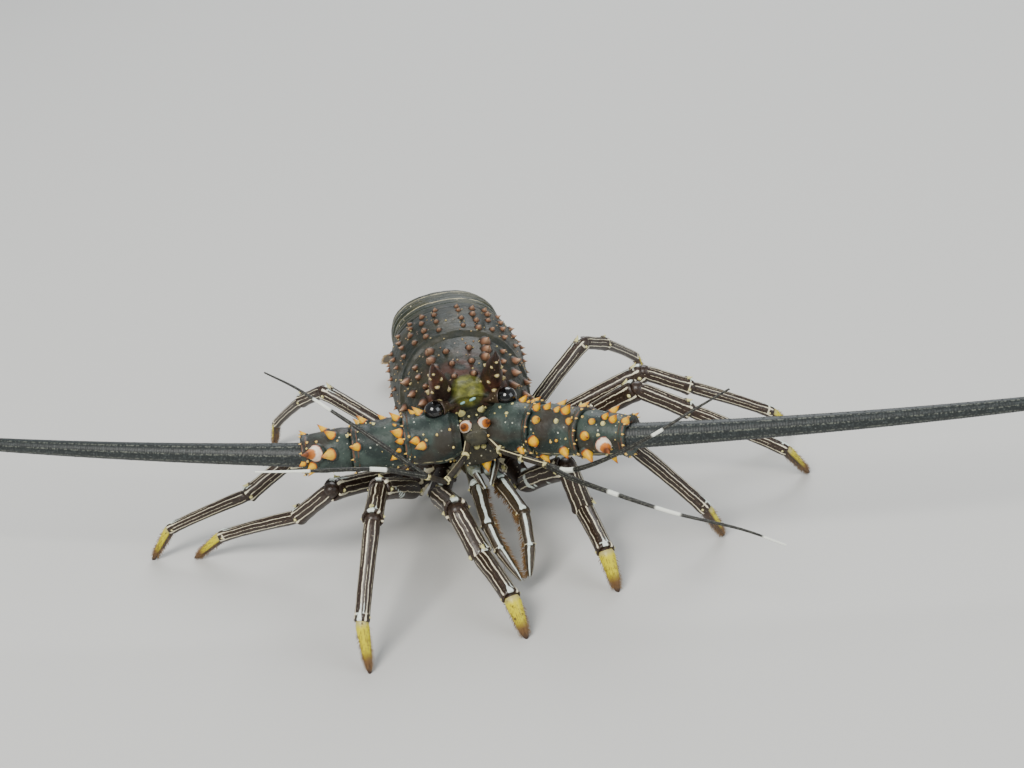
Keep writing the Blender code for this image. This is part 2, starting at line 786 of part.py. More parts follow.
def make_abdomen(finishes, carapace):
    made = []
    start = ABDOMEN_START
    before = carapace
    across = Vector((1, 0, 0))
    for number, (length, half_width, half_height, slope) in enumerate(ABDOMEN_SEGMENTS, 1):
        way = heading(180, -slope, LEFT)
        upwards = across.cross(way).normalized()
        rings = []
        for share, size in (
            (-0.12, 0.86),
            (0.14, 0.95),
            (0.22, 0.99),
            (0.72, 1.0),
            (0.97, 0.985),
            (1.0, 0.93),
        ):
            rings.append(
                rounded_ring(
                    start + way * (length * share),
                    across,
                    upwards,
                    half_width * size,
                    half_height * size,
                    half_height * size * 0.72,
                    2.3,
                    18,
                )
            )
        segment = loft(f"abdomen_{number}", rings, finishes["abdomen"])
        flanks = []
        for side in (LEFT, RIGHT):
            hinge = start + Vector((side * half_width * 0.87, 0, 0)) - upwards * (half_height * 0.1)
            flanks.append(flap(side, hinge, way, upwards, length, half_width, half_height, finishes))
            if 2 <= number <= 5:
                root = start + Vector((side * half_width * 0.45, 0, 0)) - upwards * (half_height * 0.6)
                flanks.append(swimmeret(side, root, way, upwards, length, half_height, finishes))
        fuse(segment, flanks)
        cut_clear(segment, before)
        made.append(segment)
        before = segment
        start = start + way * length
    return made, start


def flap(side, hinge, way, upwards, length, half_width, half_height, finishes):
    """The pleuron, the pointed flap at a segment's side."""
    hinge = hinge + way * (length * 0.42)
    inwards = Vector((-side * half_width * 0.06, 0, 0))
    tip = hinge + way * (length * 0.46) + inwards - upwards * (half_height * 0.95)
    stations = (
        (hinge, 2.6, length * 0.4),
        (hinge.lerp(tip, 0.45), 2.2, length * 0.36),
        (hinge.lerp(tip, 0.8), 1.5, length * 0.18),
        (tip, 0.5, 0.9),
    )
    return limb("flap", stations, finishes["abdomen"], 6)


def swimmeret(side, root, way, upwards, length, half_height, finishes):
    """The small paddle under a segment."""
    root = root + way * (length * 0.45)
    end = root + way * (length * 0.55) - upwards * (half_height * 0.6) + Vector((side * 1.5, 0, 0))
    stations = (
        (root, 3, 1.2),
        (root.lerp(end, 0.5), 6, 1.1),
        (root.lerp(end, 0.85), 5, 0.9),
        (end, 2, 0.6),
    )
    return limb("swimmeret", stations, finishes["abdomen"], 6)


def fan_blade(name, root, turn, length, half_width, finish):
    """A flat blade of the tail fan, with raised ribs along it, as one closed grid."""
    columns, rows = 6, 7
    way = heading(180 - turn, -FAN_SLOPE, LEFT)
    across = way.cross(UP).normalized()
    upwards = across.cross(way).normalized()
    mesh_builder = bmesh.new()
    layers = []
    for face in (1, -1):
        layer = []
        for row in range(rows + 1):
            share = row / rows
            rounding = math.sqrt(1 - max(0, (share - 0.72) / 0.285) ** 2)
            width = half_width * min(1, 0.42 + 1.1 * share) * rounding
            line = []
            for column in range(columns + 1):
                sideways = 2 * column / columns - 1
                rib = 0.35 if column in (1, 3, 5) else 0.0
                thickness = FAN_THICKNESS * (1 - 0.3 * share) * (0.5 + rib)
                height = 1.2 * (1 - sideways**2) + FAN_SWEEP * share**2 + face * thickness * 0.6
                length_here = length * share * (1 - 0.05 * sideways**2)
                line.append(
                    mesh_builder.verts.new(
                        root + way * length_here + across * (sideways * width) + upwards * height
                    )
                )
            layer.append(line)
        layers.append(layer)
    top, bottom = layers
    for row in range(rows):
        for column in range(columns):
            for layer in layers:
                a, b = layer[row][column], layer[row][column + 1]
                c, d = layer[row + 1][column + 1], layer[row + 1][column]
                mesh_builder.faces.new((a, b, c))
                mesh_builder.faces.new((a, c, d))
    rim = [(row, 0) for row in range(rows)]
    rim += [(rows, column) for column in range(columns)]
    rim += [(row, columns) for row in range(rows, 0, -1)]
    rim += [(0, column) for column in range(columns, 0, -1)]
    for (row, column), (next_row, next_column) in zip(rim, rim[1:] + rim[:1]):
        a, b = top[row][column], top[next_row][next_column]
        c, d = bottom[next_row][next_column], bottom[row][column]
        mesh_builder.faces.new((a, b, c))
        mesh_builder.faces.new((a, c, d))
    return finish_mesh(name, mesh_builder, finish)


def make_tail_fan(finishes, last_segment, end):
    length, half_width = TELSON_SIZE
    root = end + Vector((0, -4, 1))
    telson = fan_blade("telson", root, 0, length, half_width, finishes["fan"])
    cut_clear(telson, last_segment)
    made = [telson]
    for side in (LEFT, RIGHT):
        for pattern, turn, drop, length, half_width in FAN_BLADES:
            blade_root = root + Vector((side * 6, 0, -drop))
            name = pattern.format(SIDE_NAME[side])
            blade = fan_blade(name, blade_root, side * turn, length, half_width, finishes["fan"])
            cut_clear(blade, last_segment)
            made.append(blade)
    return made


# Standing on the floor

def flatten_on_floor(standing):
    """Cuts what rests on the floor to small flats at z = 0."""
    size, depth = FLOOR_SLAB
    mesh_builder = bmesh.new()
    bmesh.ops.create_cube(mesh_builder, size=1)
    bmesh.ops.scale(mesh_builder, vec=(size * 2, size * 2, depth), verts=mesh_builder.verts)
    bmesh.ops.translate(mesh_builder, vec=(0, 0, -depth / 2), verts=mesh_builder.verts)
    slab = finish_mesh("floor_slab", mesh_builder, standing[0].data.materials[0])
    parts.objects.unlink(slab)
    cutters.objects.link(slab)
    slab.hide_render = True
    slab.display_type = "WIRE"
    for piece in standing:
        apply_boolean(piece, "DIFFERENCE", slab, "MANIFOLD")
    bpy.data.objects.remove(slab)


def centre_over_origin():
    """Moves the whole animal so that its box stands centred on the origin."""
    corners = [vertex.co for made in parts.objects for vertex in made.data.vertices]
    low = [min(corner[i] for corner in corners) for i in range(3)]
    high = [max(corner[i] for corner in corners) for i in range(3)]
    shift = Vector((-(low[0] + high[0]) / 2, -(low[1] + high[1]) / 2, -low[2]))
    for made in parts.objects:
        made.data.transform(Matrix.Translation(shift))
        made.data.shade_smooth()
        made.data.set_sharp_from_angle(angle=math.radians(38))


def main():
    for old in list(bpy.data.objects):
        bpy.data.objects.remove(old)
    bpy.context.scene.collection.children.link(parts)
    bpy.context.scene.collection.children.link(cutters)
    cutters.hide_render = True
    finishes = make_materials()

    carapace = make_carapace(finishes)
    sternum = make_sternum(finishes, carapace)
    epistome = make_epistome(finishes, carapace, sternum)
    plate = make_plate(finishes, carapace, epistome)
    standing = []
    head = [carapace, epistome, plate]
    for side in (LEFT, RIGHT):
        horn = make_horn(side, finishes, carapace)
        eye = make_eye(side, finishes, carapace, horn, plate)
        segments, whip_root = make_peduncle(side, finishes, [*head, eye])
        make_whip(side, finishes, segments[-1], whip_root)
        make_antennule(side, finishes, [*head, segments[0]])
        make_mouth_limb(side, finishes, [epistome, sternum, carapace])
        before = [carapace, sternum]
        for number in range(len(LEG_ROOTS)):
            upper, lower = make_leg(side, number, finishes, before)
            before = [carapace, sternum, upper]
            standing.append(lower)
    segments, tail_end = make_abdomen(finishes, carapace)
    fan = make_tail_fan(finishes, segments[-1], tail_end)
    add_carapace_spines(carapace, finishes)
    flatten_on_floor(standing + fan)
    centre_over_origin()


main()
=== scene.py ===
# Spiny lobster as a still, life-size model. It stands on its ten legs and holds both antennae
# out sideways. Sizes are millimetres in the animal's own frame: it faces -Y, its left side is
# +X, x = 0 is its midline, y = 0 the middle of the carapace and z = 0 the floor.

import math
import random

import bpy
import numpy as np
from mathutils import Matrix, Vector, noise


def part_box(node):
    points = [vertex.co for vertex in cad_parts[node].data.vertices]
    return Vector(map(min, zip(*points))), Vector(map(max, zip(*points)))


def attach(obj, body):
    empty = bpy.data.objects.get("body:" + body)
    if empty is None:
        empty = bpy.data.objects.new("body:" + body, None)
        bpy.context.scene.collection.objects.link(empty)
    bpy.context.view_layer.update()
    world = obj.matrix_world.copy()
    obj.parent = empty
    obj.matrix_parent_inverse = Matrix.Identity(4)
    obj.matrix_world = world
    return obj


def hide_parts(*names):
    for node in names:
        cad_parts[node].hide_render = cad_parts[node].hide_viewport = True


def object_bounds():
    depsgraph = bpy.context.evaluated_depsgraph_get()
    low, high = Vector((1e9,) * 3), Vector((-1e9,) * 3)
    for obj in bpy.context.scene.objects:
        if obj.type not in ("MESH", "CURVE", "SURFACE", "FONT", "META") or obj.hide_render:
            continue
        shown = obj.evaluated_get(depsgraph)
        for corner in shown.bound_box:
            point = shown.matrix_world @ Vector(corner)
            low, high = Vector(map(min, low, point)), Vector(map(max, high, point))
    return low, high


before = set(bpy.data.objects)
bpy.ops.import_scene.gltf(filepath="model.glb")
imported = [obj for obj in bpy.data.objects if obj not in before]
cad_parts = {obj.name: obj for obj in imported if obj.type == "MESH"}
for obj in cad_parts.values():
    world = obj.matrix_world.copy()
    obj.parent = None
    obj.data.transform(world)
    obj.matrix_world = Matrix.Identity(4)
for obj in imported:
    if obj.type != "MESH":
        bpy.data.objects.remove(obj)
cad_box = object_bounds()

# The animal's own origin in the frame, found from the chest plate, whose rear end is known
MM = 0.001
CHEST_REAR_Y = 45
chest_low, chest_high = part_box("sternum")
ANIMAL_ORIGIN = np.array(((chest_low.x + chest_high.x) / 2, chest_high.y - CHEST_REAR_Y * MM, 0))


def in_frame(point):
    """A place in the animal's millimetres as one in the frame's metres."""
    return Vector(np.array(point, float) * MM + ANIMAL_ORIGIN)


# Floor, lamps and camera. A wide pale studio floor of matt paint, with a big soft lamp above
# and to the left of the animal, a fill lamp on its other side and a rim lamp behind it.

FLOOR_RADIUS, FLOOR_CORNERS = 9.0, 64
FLOOR_COLOUR, FLOOR_ROUGHNESS = (0.60, 0.60, 0.58), 0.85
SKY_COLOUR, SKY_STRENGTH = (0.82, 0.85, 0.88), 0.48
# Each lamp's place, width, power and colour
LAMPS = (
    ("key_lamp", (-1500, -2100, 2900), 1700, 165, (1.0, 0.97, 0.92)),
    ("fill_lamp", (2600, -2000, 1700), 2400, 60, (0.92, 0.96, 1.0)),
    ("rim_lamp", (900, 2700, 2600), 2200, 90, (0.96, 0.98, 1.0)),
)
LAMP_AIM = (0, -30, 60)
SENSOR_WIDTH, FOCAL_PIXELS = 36, 1500
PICTURE = (1024, 768)
CAMERA_RISE, CAMERA_TURN, CAMERA_ROLL = 25, 5, 9
HEAD_PLACE, HEAD_PIXEL, HEAD_DISTANCE = (0, -55, 80), (473, 417), 750

floor_mesh = bpy.data.meshes.new("studio_floor")
turns = np.linspace(0, 2 * math.pi, FLOOR_CORNERS + 1)[:-1]
rim = [(FLOOR_RADIUS * math.cos(a), FLOOR_RADIUS * math.sin(a), 0) for a in turns]
floor_mesh.from_pydata(rim, [], [list(range(FLOOR_CORNERS))])
floor = bpy.data.objects.new("studio_floor", floor_mesh)
bpy.context.scene.collection.objects.link(floor)
floor_paint = bpy.data.materials.new("floor_paint")
floor_paint.use_nodes = True
shader = floor_paint.node_tree.nodes["Principled BSDF"]
shader.inputs["Base Color"].default_value = (*FLOOR_COLOUR, 1)
shader.inputs["Roughness"].default_value = FLOOR_ROUGHNESS
floor_mesh.materials.append(floor_paint)

sky = bpy.data.worlds.new("studio_air")
sky.use_nodes = True
air = sky.node_tree.nodes["Background"]
air.inputs["Color"].default_value = (*SKY_COLOUR, 1)
air.inputs["Strength"].default_value = SKY_STRENGTH
bpy.context.scene.world = sky

for name, place, size, power, colour in LAMPS:
    light = bpy.data.lights.new(name, "AREA")
    light.size = size * MM
    light.energy = power
    light.color = colour
    lamp = bpy.data.objects.new(name, light)
    lamp.location = in_frame(place)
    lamp.rotation_euler = (in_frame(LAMP_AIM) - lamp.location).to_track_quat("-Z", "Y").to_euler()
    bpy.context.scene.collection.objects.link(lamp)

rise, turn, roll = (math.radians(a) for a in (CAMERA_RISE, CAMERA_TURN, CAMERA_ROLL))
ahead = Vector((math.sin(turn) * math.cos(rise), math.cos(turn) * math.cos(rise), -math.sin(rise)))
level = Vector((math.cos(turn), -math.sin(turn), 0))
rightwards = level * math.cos(roll) - level.cross(ahead) * math.sin(roll)
upwards = level * math.sin(roll) + level.cross(ahead) * math.cos(roll)
to_head = ahead * FOCAL_PIXELS
to_head += rightwards * (HEAD_PIXEL[0] - PICTURE[0] / 2)
to_head -= upwards * (HEAD_PIXEL[1] - PICTURE[1] / 2)
camera = bpy.data.objects.new("camera", bpy.data.cameras.new("camera"))
camera.data.lens = SENSOR_WIDTH * FOCAL_PIXELS / PICTURE[0]
camera.data.sensor_width = SENSOR_WIDTH
camera.data.clip_end = 50
place = in_frame(Vector(HEAD_PLACE) - to_head.normalized() * HEAD_DISTANCE)
aim = Matrix((rightwards, upwards, -ahead)).transposed().to_4x4()
camera.matrix_world = Matrix.Translation(place) @ aim
bpy.context.scene.collection.objects.link(camera)
bpy.context.scene.camera = camera


# Carapace. The shield over head and chest is one piece of limy shell. A bowed groove parts head
# from chest, a rolled rim ends it behind, and rows of forward-leaning spines and small warts
# grow out of it. In front, between the horns, it swells into two soft yellow-green lobes.

LEFT, RIGHT = 1, -1
SIDES = ((LEFT, "left"), (RIGHT, "right"))
# Stations from front to rear: y, half width, top and belly height
CARAPACE_STATIONS = np.array((
    (-50, 19, 89, 60),
    (-47, 23, 92, 56),
    (-38, 28, 97, 51),
    (-24, 32.5, 101.5, 43),
    (-10, 34.6, 103.2, 42),
    (0, 35.6, 103.8, 42),
    (14, 37, 104.6, 42),
    (28, 37.5, 104.2, 42),
    (40, 36.4, 102.2, 42.5),
    (50, 34.4, 100.2, 44),
))
WIDEST_Z = 66
SHELL_SQUARENESS = 2.25
CARAPACE_ROWS, CARAPACE_COLUMNS = 168, 216
# Rows of spines: angle down from the midline of the back, length, and the y of each
CARAPACE_SPINES = (
    (8, 4.4, (-39, -30, -19)),
    (23, 7.0, (-28, -20, -12)),
    (40, 4.4, (-34, -25, -16)),
    (55, 6.2, (-38, -28, -17)),
    (74, 5.0, (-33, -22)),
    (92, 4.0, (-26, -14)),
    (8, 3.8, (6, 17, 29, 39)),
    (20, 4.4, (4, 13, 23, 34)),
    (33, 4.0, (7, 18, 29, 38)),
    (46, 3.8, (4, 14, 24, 35)),
    (60, 3.6, (8, 19, 30)),
    (76, 3.2, (5, 16, 27, 37)),
    (94, 3.0, (10, 24, 36)),
)
WARTS = 170
# Middle of each soft lobe, how far it reaches across and along, and how high it swells
SOFT_LOBES, LOBE_REACH, LOBE_HEIGHT = ((-4.2, -46.0), (4.2, -46.0)), (3.4, 3.6), 2.0


class Form:
    """The closed skins of one piece, with the marks that its finish reads at each point.

    place is the cosine and sine of the turn round a skin and the share along it. growth is
    the share up a spine, or -1 off it, then the spine's tint and whether it has a pale ring.
    """

    def __init__(self, skin=None, share=None):
        self.points, self.place, self.growth, self.sheets = [], [], [], []
        self.faces = {4: [], 3: []}
        self.count = 0
        if skin is not None:
            self.add_skin(skin, share)

    def note_faces(self, corners, flat, sheet):
        """Keeps faces with their corners laid flat on one of the sheets, or on the map if -1."""
        kind = corners.shape[-1]
        sheet = np.broadcast_to(sheet, corners.shape).reshape(-1)
        self.faces[kind].append((corners.reshape(-1, kind), flat.reshape(-1, 2), sheet))

    def add_skin(self, grid, share=None, tip=-1.0, tint=0.0, ringed=0.0):
        """Adds rings of points, grid[ring, point], closed round and capped at both ends."""
        rows, columns = grid.shape[:2]
        turn = np.arange(columns) * 2 * np.pi / columns
        share = np.linspace(0, 1, rows) if share is None else np.asarray(share, float)
        tip = np.broadcast_to(tip, rows)[:, None]
        ends = grid[[0, -1]].mean(1)
        shape = rows, columns
        marks = (np.cos(turn), np.sin(turn), share[:, None]), (tip, tint, ringed)
        place, growth = (np.stack([np.broadcast_to(v, shape) for v in row], -1) for row in marks)
        self.points += [grid.reshape(-1, 3), ends]
        self.place += [place.reshape(-1, 3), place[[0, -1], 0] * (0.01, 0.01, 1)]
        self.growth += [growth.reshape(-1, 3), growth[[0, -1], 0]]

        index = self.count + np.arange(rows * columns).reshape(rows, columns)
        after = np.roll(index, -1, axis=1)
        quads = np.stack((index[:-1], after[:-1], after[1:], index[1:]), -1)
        last = self.count + rows * columns
        caps = np.stack((
            np.stack((after[0], index[0], np.full(columns, last)), -1),
            np.stack((index[-1], after[-1], np.full(columns, last + 1)), -1),
        ))
        corners = grid - grid.reshape(-1, 3).mean(0)
        beside = np.roll(corners, -1, 1)
        a, b, c, d = corners[:-1], beside[:-1], beside[1:], corners[1:]
        turned = (np.cross(a, b) * c).sum() + (np.cross(a, c) * d).sum() < 0
        if turned:
            quads, caps = quads[..., ::-1], caps[..., ::-1]
        self.count += rows * columns + 2
        self.unroll(grid, quads, caps, turned)

    def unroll(self, grid, quads, caps, turned):
        """Cuts a skin into lengths and lays each of them flat, then each cap as a strip."""
        rows, columns = grid.shape[:2]
        girth = np.linalg.norm(grid - np.roll(grid, -1, 1), axis=2).sum(1).mean() + 0.3
        gaps = np.linalg.norm(np.diff(grid, axis=0), axis=2).mean(1) + 0.02
        run = np.r_[0, np.cumsum(gaps)]
        lengths = max(1, round(run[-1] / (3 * girth)))
        _, cut = np.unique((run[:-1] / run[-1] * lengths * 0.999).astype(int), return_inverse=True)
        begins = np.array([run[:-1][cut == n].min() for n in range(cut[-1] + 1)])
        stops = np.array([run[1:][cut == n].max() for n in range(cut[-1] + 1)])
        u0 = np.broadcast_to(np.arange(columns) * girth / columns, (rows - 1, columns))
        u1 = u0 + girth / columns
        v0, v1 = ((v - begins[cut])[:, None] + np.zeros(columns) for v in (run[:-1], run[1:]))
        flat = np.stack((np.stack((u0, u1, u1, u0), -1), np.stack((v0, v0, v1, v1), -1)), -1)
        if turned:
            flat = flat[:, :, ::-1]
        self.note_faces(quads, flat, (len(self.sheets) + cut)[:, None, None])
        self.sheets += [(girth, length) for length in stops - begins]
        for cap, ring in zip(caps, grid[[0, -1]]):
            reach = np.linalg.norm(ring - ring.mean(0), axis=1).mean() + 0.2
            around = np.arange(columns) * 6 * reach / columns
            step = 6 * reach / columns
            flat = np.stack((
                np.stack((around, around + step, around + step / 2), -1),
                np.broadcast_to((0, 0, reach), (columns, 3)),
            ), -1)
            self.note_faces(cap, flat, len(self.sheets))
            self.sheets.append((6 * reach, reach))

    def laid_out(self):
        """Corners of every sheet on one square map, and that map's side."""
        sheets = np.array(self.sheets)
        gap = 0.01 * math.sqrt(sheets.prod(1).sum()) / max(1, len(sheets) / 60) ** 0.5
        side = math.sqrt((sheets + gap).prod(1).sum()) * 1.04
        side = max(sheets[:, 0].max() + 2 * gap, side)
        corners = np.zeros((len(sheets), 2))
        x = y = gap
        shelf = 0
        for i in np.argsort(-sheets[:, 1], kind="stable"):
            width, height = sheets[i]
            if x + width + gap > side:
                x, y, shelf = gap, y + shelf + gap, 0
            corners[i] = x, y
            x += width + gap
            shelf = max(shelf, height)
        return corners, max(side, y + shelf + gap)

    def make(self, name, finish, slot, *nodes):
        """Makes the piece, which stands for the named solids of the frame."""
        points = np.concatenate(self.points) * MM + ANIMAL_ORIGIN
        points = np.clip(points, np.array(cad_box[0]), np.array(cad_box[1]))
        parts = self.faces[4] + self.faces[3]
        faces = [face for part in parts for face in part[0].tolist()]
        flat, sheet = (np.concatenate([part[i] for part in parts]) for i in (1, 2))
        mesh = bpy.data.meshes.new(name)
        mesh.from_pydata(points.tolist(), [], faces)
        for label, marks in (("place", self.place), ("growth", self.growth)):
            layer = mesh.attributes.new(label, "FLOAT_VECTOR", "POINT")
            layer.data.foreach_set("vector", np.concatenate(marks).astype(np.float32).ravel())
        if self.sheets:
            corners, side = self.laid_out()
            flat = np.where(sheet[:, None] < 0, flat, (flat + corners[sheet]) / side)
        layer = mesh.uv_layers.new(name="OFBake")
        layer.data.foreach_set("uv", flat.astype(np.float32).ravel())
        mesh.materials.append(finish.material)
        mesh.shade_smooth()
        mesh.set_sharp_from_angle(angle=math.radians(55))
        piece = bpy.data.objects.new(name, mesh)
        bpy.context.scene.collection.objects.link(piece)
        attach(piece, "root")
        if nodes:
            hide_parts(*nodes)


def rounded_rings(
    centres, across, upwards, half_widths, half_ups, columns, square=2, half_downs=None
):
    """Rings with a rounded-box outline, counted from the top towards the across side."""
    turn = np.arange(columns) * 2 * np.pi / columns
    x = np.sign(np.sin(turn)) * np.abs(np.sin(turn)) ** (2 / square)
    z = np.sign(np.cos(turn)) * np.abs(np.cos(turn)) ** (2 / square)
    half_downs = half_ups if half_downs is None else half_downs
    half_ups, half_downs = (np.asarray(h, float)[:, None] for h in (half_ups, half_downs))
    wide = x[None] * np.asarray(half_widths, float)[:, None]
    tall = z[None] * np.where(z[None] > 0, half_ups, half_downs)
    across = np.broadcast_to(across, centres.shape)[:, None]
    upwards = np.broadcast_to(upwards, centres.shape)[:, None]
    return centres[:, None] + across * wide[..., None] + upwards * tall[..., None]


def upright_rings(y, middle, *sizes):
    """Rounded rings of these sizes that stand across the animal, one at each y."""
    centres = np.stack((np.zeros_like(y), y, np.broadcast_to(middle, y.shape)), -1)
    return rounded_rings(centres, (1, 0, 0), (0, 0, 1), *sizes)


def hump(away, reach):
    """A smooth rise to 1 where away is 0, and back to nothing about two reaches off."""
    return np.exp(-((away / reach) ** 2))


def eased(at, stations, spread):
    """Reads the columns of a table between its stations, with the corners rounded off."""
    fine = np.linspace(stations[0, 0], stations[-1, 0], 400)
    weights = hump(fine[:, None] - fine[None], spread)
    columns = []
    for column in stations.T[1:]:
        straight = np.interp(fine, stations[:, 0], column)
        columns.append(np.interp(at, fine, weights @ straight / weights.sum(1)))
    return columns


def outward(grid):
    """Unit normals of a grid of rings, pointing away from its middle line."""
    around = np.roll(grid, -1, 1) - np.roll(grid, 1, 1)
    along = np.gradient(grid, axis=0)
    normal = np.cross(around, along)
    normal /= np.linalg.norm(normal, axis=2, keepdims=True) + 1e-9
    away = grid - grid.mean(1, keepdims=True)
    return -normal if (normal * away).sum() < 0 else normal


def unit(way):
    return np.asarray(way, float) / np.linalg.norm(way)


def roughened(grid, depth, size, seed=0.0):
    """Pushes a grid in and out by a few tenths, as cast shell is never even."""
    normal = outward(grid)
    flat = grid.reshape(-1, 3) / size + seed
    swell = np.array([noise.noise(p) + 0.5 * noise.noise(p * 2.3) for p in map(Vector, flat)])
    return grid + normal * (swell * depth).reshape(grid.shape[:2])[..., None]


# How thick a spine is at shares of its length. Its foot lies under the shell.
SPINE_SHARES = np.array((-0.30, -0.08, 0.0, 0.07, 0.16, 0.3, 0.45, 0.6, 0.75, 0.88, 0.96, 1.0))
SPINE_SIZES = np.array((1.2, 1.25, 1.12, 0.97, 0.87, 0.73, 0.58, 0.43, 0.28, 0.15, 0.07, 0.025))


def grow_spine(form, root, way, length, radius, bend=(0, 0, 0), tint=0.0, ringed=0.0, sides=12):
    """A horn-like spine with a low flared foot in the shell and a curve towards its tip."""
    root, way, bend = np.array(root, float), unit(way), np.array(bend, float)
    helper = (0, 0, 1.0) if abs(way[2]) < 0.9 else (1.0, 0, 0)
    across = unit(np.cross(way, helper))
    centres = root + way * (SPINE_SHARES * length)[:, None]
    centres = centres + bend * (length * np.clip(SPINE_SHARES, 0, 1)[:, None] ** 2)
    sizes = SPINE_SIZES * radius
    grid = rounded_rings(centres, across, np.cross(across, way), sizes, sizes, sides)
    form.add_skin(grid, tip=SPINE_SHARES, tint=tint, ringed=ringed)


class Finish:
    """What a piece's surface looks like, mixed from nodes that hand their outputs on."""

    def __init__(self, name):
        self.material = bpy.data.materials.new(name)
        self.material.use_nodes = True
        self.tree = self.material.node_tree
        self.shader = self.tree.nodes["Principled BSDF"]

    def feed(self, made, sockets):
        """Gives a node's sockets a value each, or another node's output."""
        for name, value in sockets.items():
            if isinstance(value, bpy.types.NodeSocket):
                self.tree.links.new(value, made.inputs[name])
            else:
                made.inputs[name].default_value = value

    def wear(self, colour, roughness, sockets=()):
        """Gives the shader its colour, roughness and whatever else the surface needs."""
        self.feed(self.shader, {"Base Color": colour, "Roughness": roughness, **dict(sockets)})

    def node(self, kind, sockets=(), **settings):
        """Adds a node and returns its outputs."""
        made = self.tree.nodes.new("ShaderNode" + kind)
        for name, value in settings.items():
            setattr(made, name, value)
        self.feed(made, dict(sockets))
        return made.outputs

    def reckon(self, operation, first, second=0.0):
        return self.node("Math", {0: first, 1: second}, operation=operation)[0]

    def times(self, first, *others):
        for other in others:
            first = self.reckon("MULTIPLY", first, other)
        return first

    def blend(self, factor, first, second):
        """Mixes two colours, each a triple or another node's output."""
        pair = [c if isinstance(c, bpy.types.NodeSocket) else (*c, 1) for c in (first, second)]
        return self.node("Mix", {0: factor, 6: pair[0], 7: pair[1]}, data_type="RGBA")[2]

    def ramp(self, value, *stops):
        """A colour scale. Each stop is a share and a colour or a grey."""
        scale = self.node("ValToRGB", {0: value})[0]
        elements = scale.node.color_ramp.elements
        for i, (share, _) in enumerate(stops):
            element = elements[i] if i < 2 else elements.new(share)
            element.position = share
        for element, (_, colour) in zip(elements, stops):
            element.color = (*(colour if isinstance(colour, tuple) else (colour,) * 3), 1)
        return scale

    def rise(self, value, low, high):
        """0 below low, 1 above high and an eased rise between them."""
        sockets = {0: value, 1: low, 2: high}
        return self.node("MapRange", sockets, interpolation_type="SMOOTHSTEP")[0]

    def here(self):
        return self.node("TexCoord")["Object"]

    def cloud(self, scale, detail=3.0, roughness=0.55):
        """Soft noise over the piece, scale in ripples to the metre."""
        sockets = {"Vector": self.here(), "Scale": scale, "Detail": detail, "Roughness": roughness}
        return self.node("TexNoise", sockets)[0]

    def patches(self, low, high, *cloud):
        """Ragged patches, 1 where a cloud is over high."""
        return self.rise(self.cloud(*cloud), low, high)

    def wavering(self, cloud, amount):
        """A cloud as an uneven shift about 0."""
        return self.times(self.reckon("SUBTRACT", cloud, 0.5), amount)

    def cells(self, scale, feature="F1"):
        return self.node("TexVoronoi", {"Vector": self.here(), "Scale": scale}, feature=feature)

    def specks(self, spacing, size, share):
        """Round pale dots, spacing apart in millimetres, on a share of their places."""
        cells = self.cells(1000 / spacing)
        dot = self.rise(cells["Distance"], size / spacing, size / spacing * 0.6)
        chosen = self.node("SeparateColor", {0: cells["Color"]})[0]
        return self.times(dot, self.rise(chosen, share, share * 0.9))

    def near(self, place, reach, softness):
        """1 near a place on the animal and 0 beyond reach millimetres of it."""
        away = self.node("VectorMath", {0: self.here(), 1: in_frame(place)}, operation="DISTANCE")
        return self.rise(away["Value"], (reach + softness) * MM, (reach - softness) * MM)

    def bump(self, strength, depth, height):
        return self.node("Bump", {"Strength": strength, "Distance": depth, "Height": height})[0]

    def marks(self, name):
        """The three numbers that a Form keeps at each point under this name."""
        kept = self.node("Attribute", attribute_name=name)["Vector"]
        return self.node("SeparateXYZ", {0: kept})

    def bare(self):
        """1 off the spines and 0 on them."""
        return self.rise(self.marks("growth")[0], 0.04, -0.2)

    def lay(self, colour, *masks):
        """Lays one more colour over the finish where all the masks are 1."""
        base = self.shader.inputs["Base Color"]
        before = base.links[0].from_socket
        self.tree.links.new(self.blend(self.times(*masks), before, colour), base)


# Colours of a spine from its foot to its tip
GOLDEN_SPINE = (
    (0.02, (0.14, 0.032, 0.008)), (0.08, (0.46, 0.12, 0.006)), (0.17, (0.78, 0.41, 0.006)),
    (0.52, (0.82, 0.47, 0.006)), (0.76, (0.62, 0.22, 0.004)), (0.96, (0.20, 0.045, 0.006)),
)
# Spines of the carapace and horns: brown with pale pinkish tips, which is their own colour, and
# dimmed further by painted shade for the light that falls off under the carapace's front ledge
DULL_SHADED_SPINE = (
    (0.02, (0.030, 0.016, 0.010)), (0.16, (0.080, 0.036, 0.020)), (0.46, (0.30, 0.15, 0.085)),
    (0.80, (0.52, 0.34, 0.22)), (0.98, (0.26, 0.12, 0.06)),
)
PALE_SPINE = (
    (0.02, (0.16, 0.12, 0.05)), (0.14, (0.62, 0.57, 0.23)), (0.80, (0.72, 0.67, 0.30)),
    (1.00, (0.40, 0.28, 0.09)),
)
RINGED_SPINE = (
    (0.02, (0.30, 0.06, 0.03)), (0.07, (0.82, 0.64, 0.50)), (0.30, (0.88, 0.78, 0.66)),
    (0.39, (0.58, 0.20, 0.035)), (0.58, (0.42, 0.12, 0.015)), (0.70, (0.10, 0.028, 0.010)),
    (0.94, (0.30, 0.09, 0.02)),
)


def growth_colours(finish, common=GOLDEN_SPINE):
    """Colour of the spines from foot to tip, and how far a point is on a spine."""
    tip, tint, ringed = finish.marks("growth")
    on_spine = finish.rise(tip, 0.0, 0.04)
    tip = finish.reckon("ADD", tip, finish.wavering(finish.cloud(650), 0.16))
    plain = finish.blend(tint, finish.ramp(tip, *common), finish.ramp(tip, *PALE_SPINE))
    return finish.blend(ringed, plain, finish.ramp(tip, *RINGED_SPINE)), on_spine


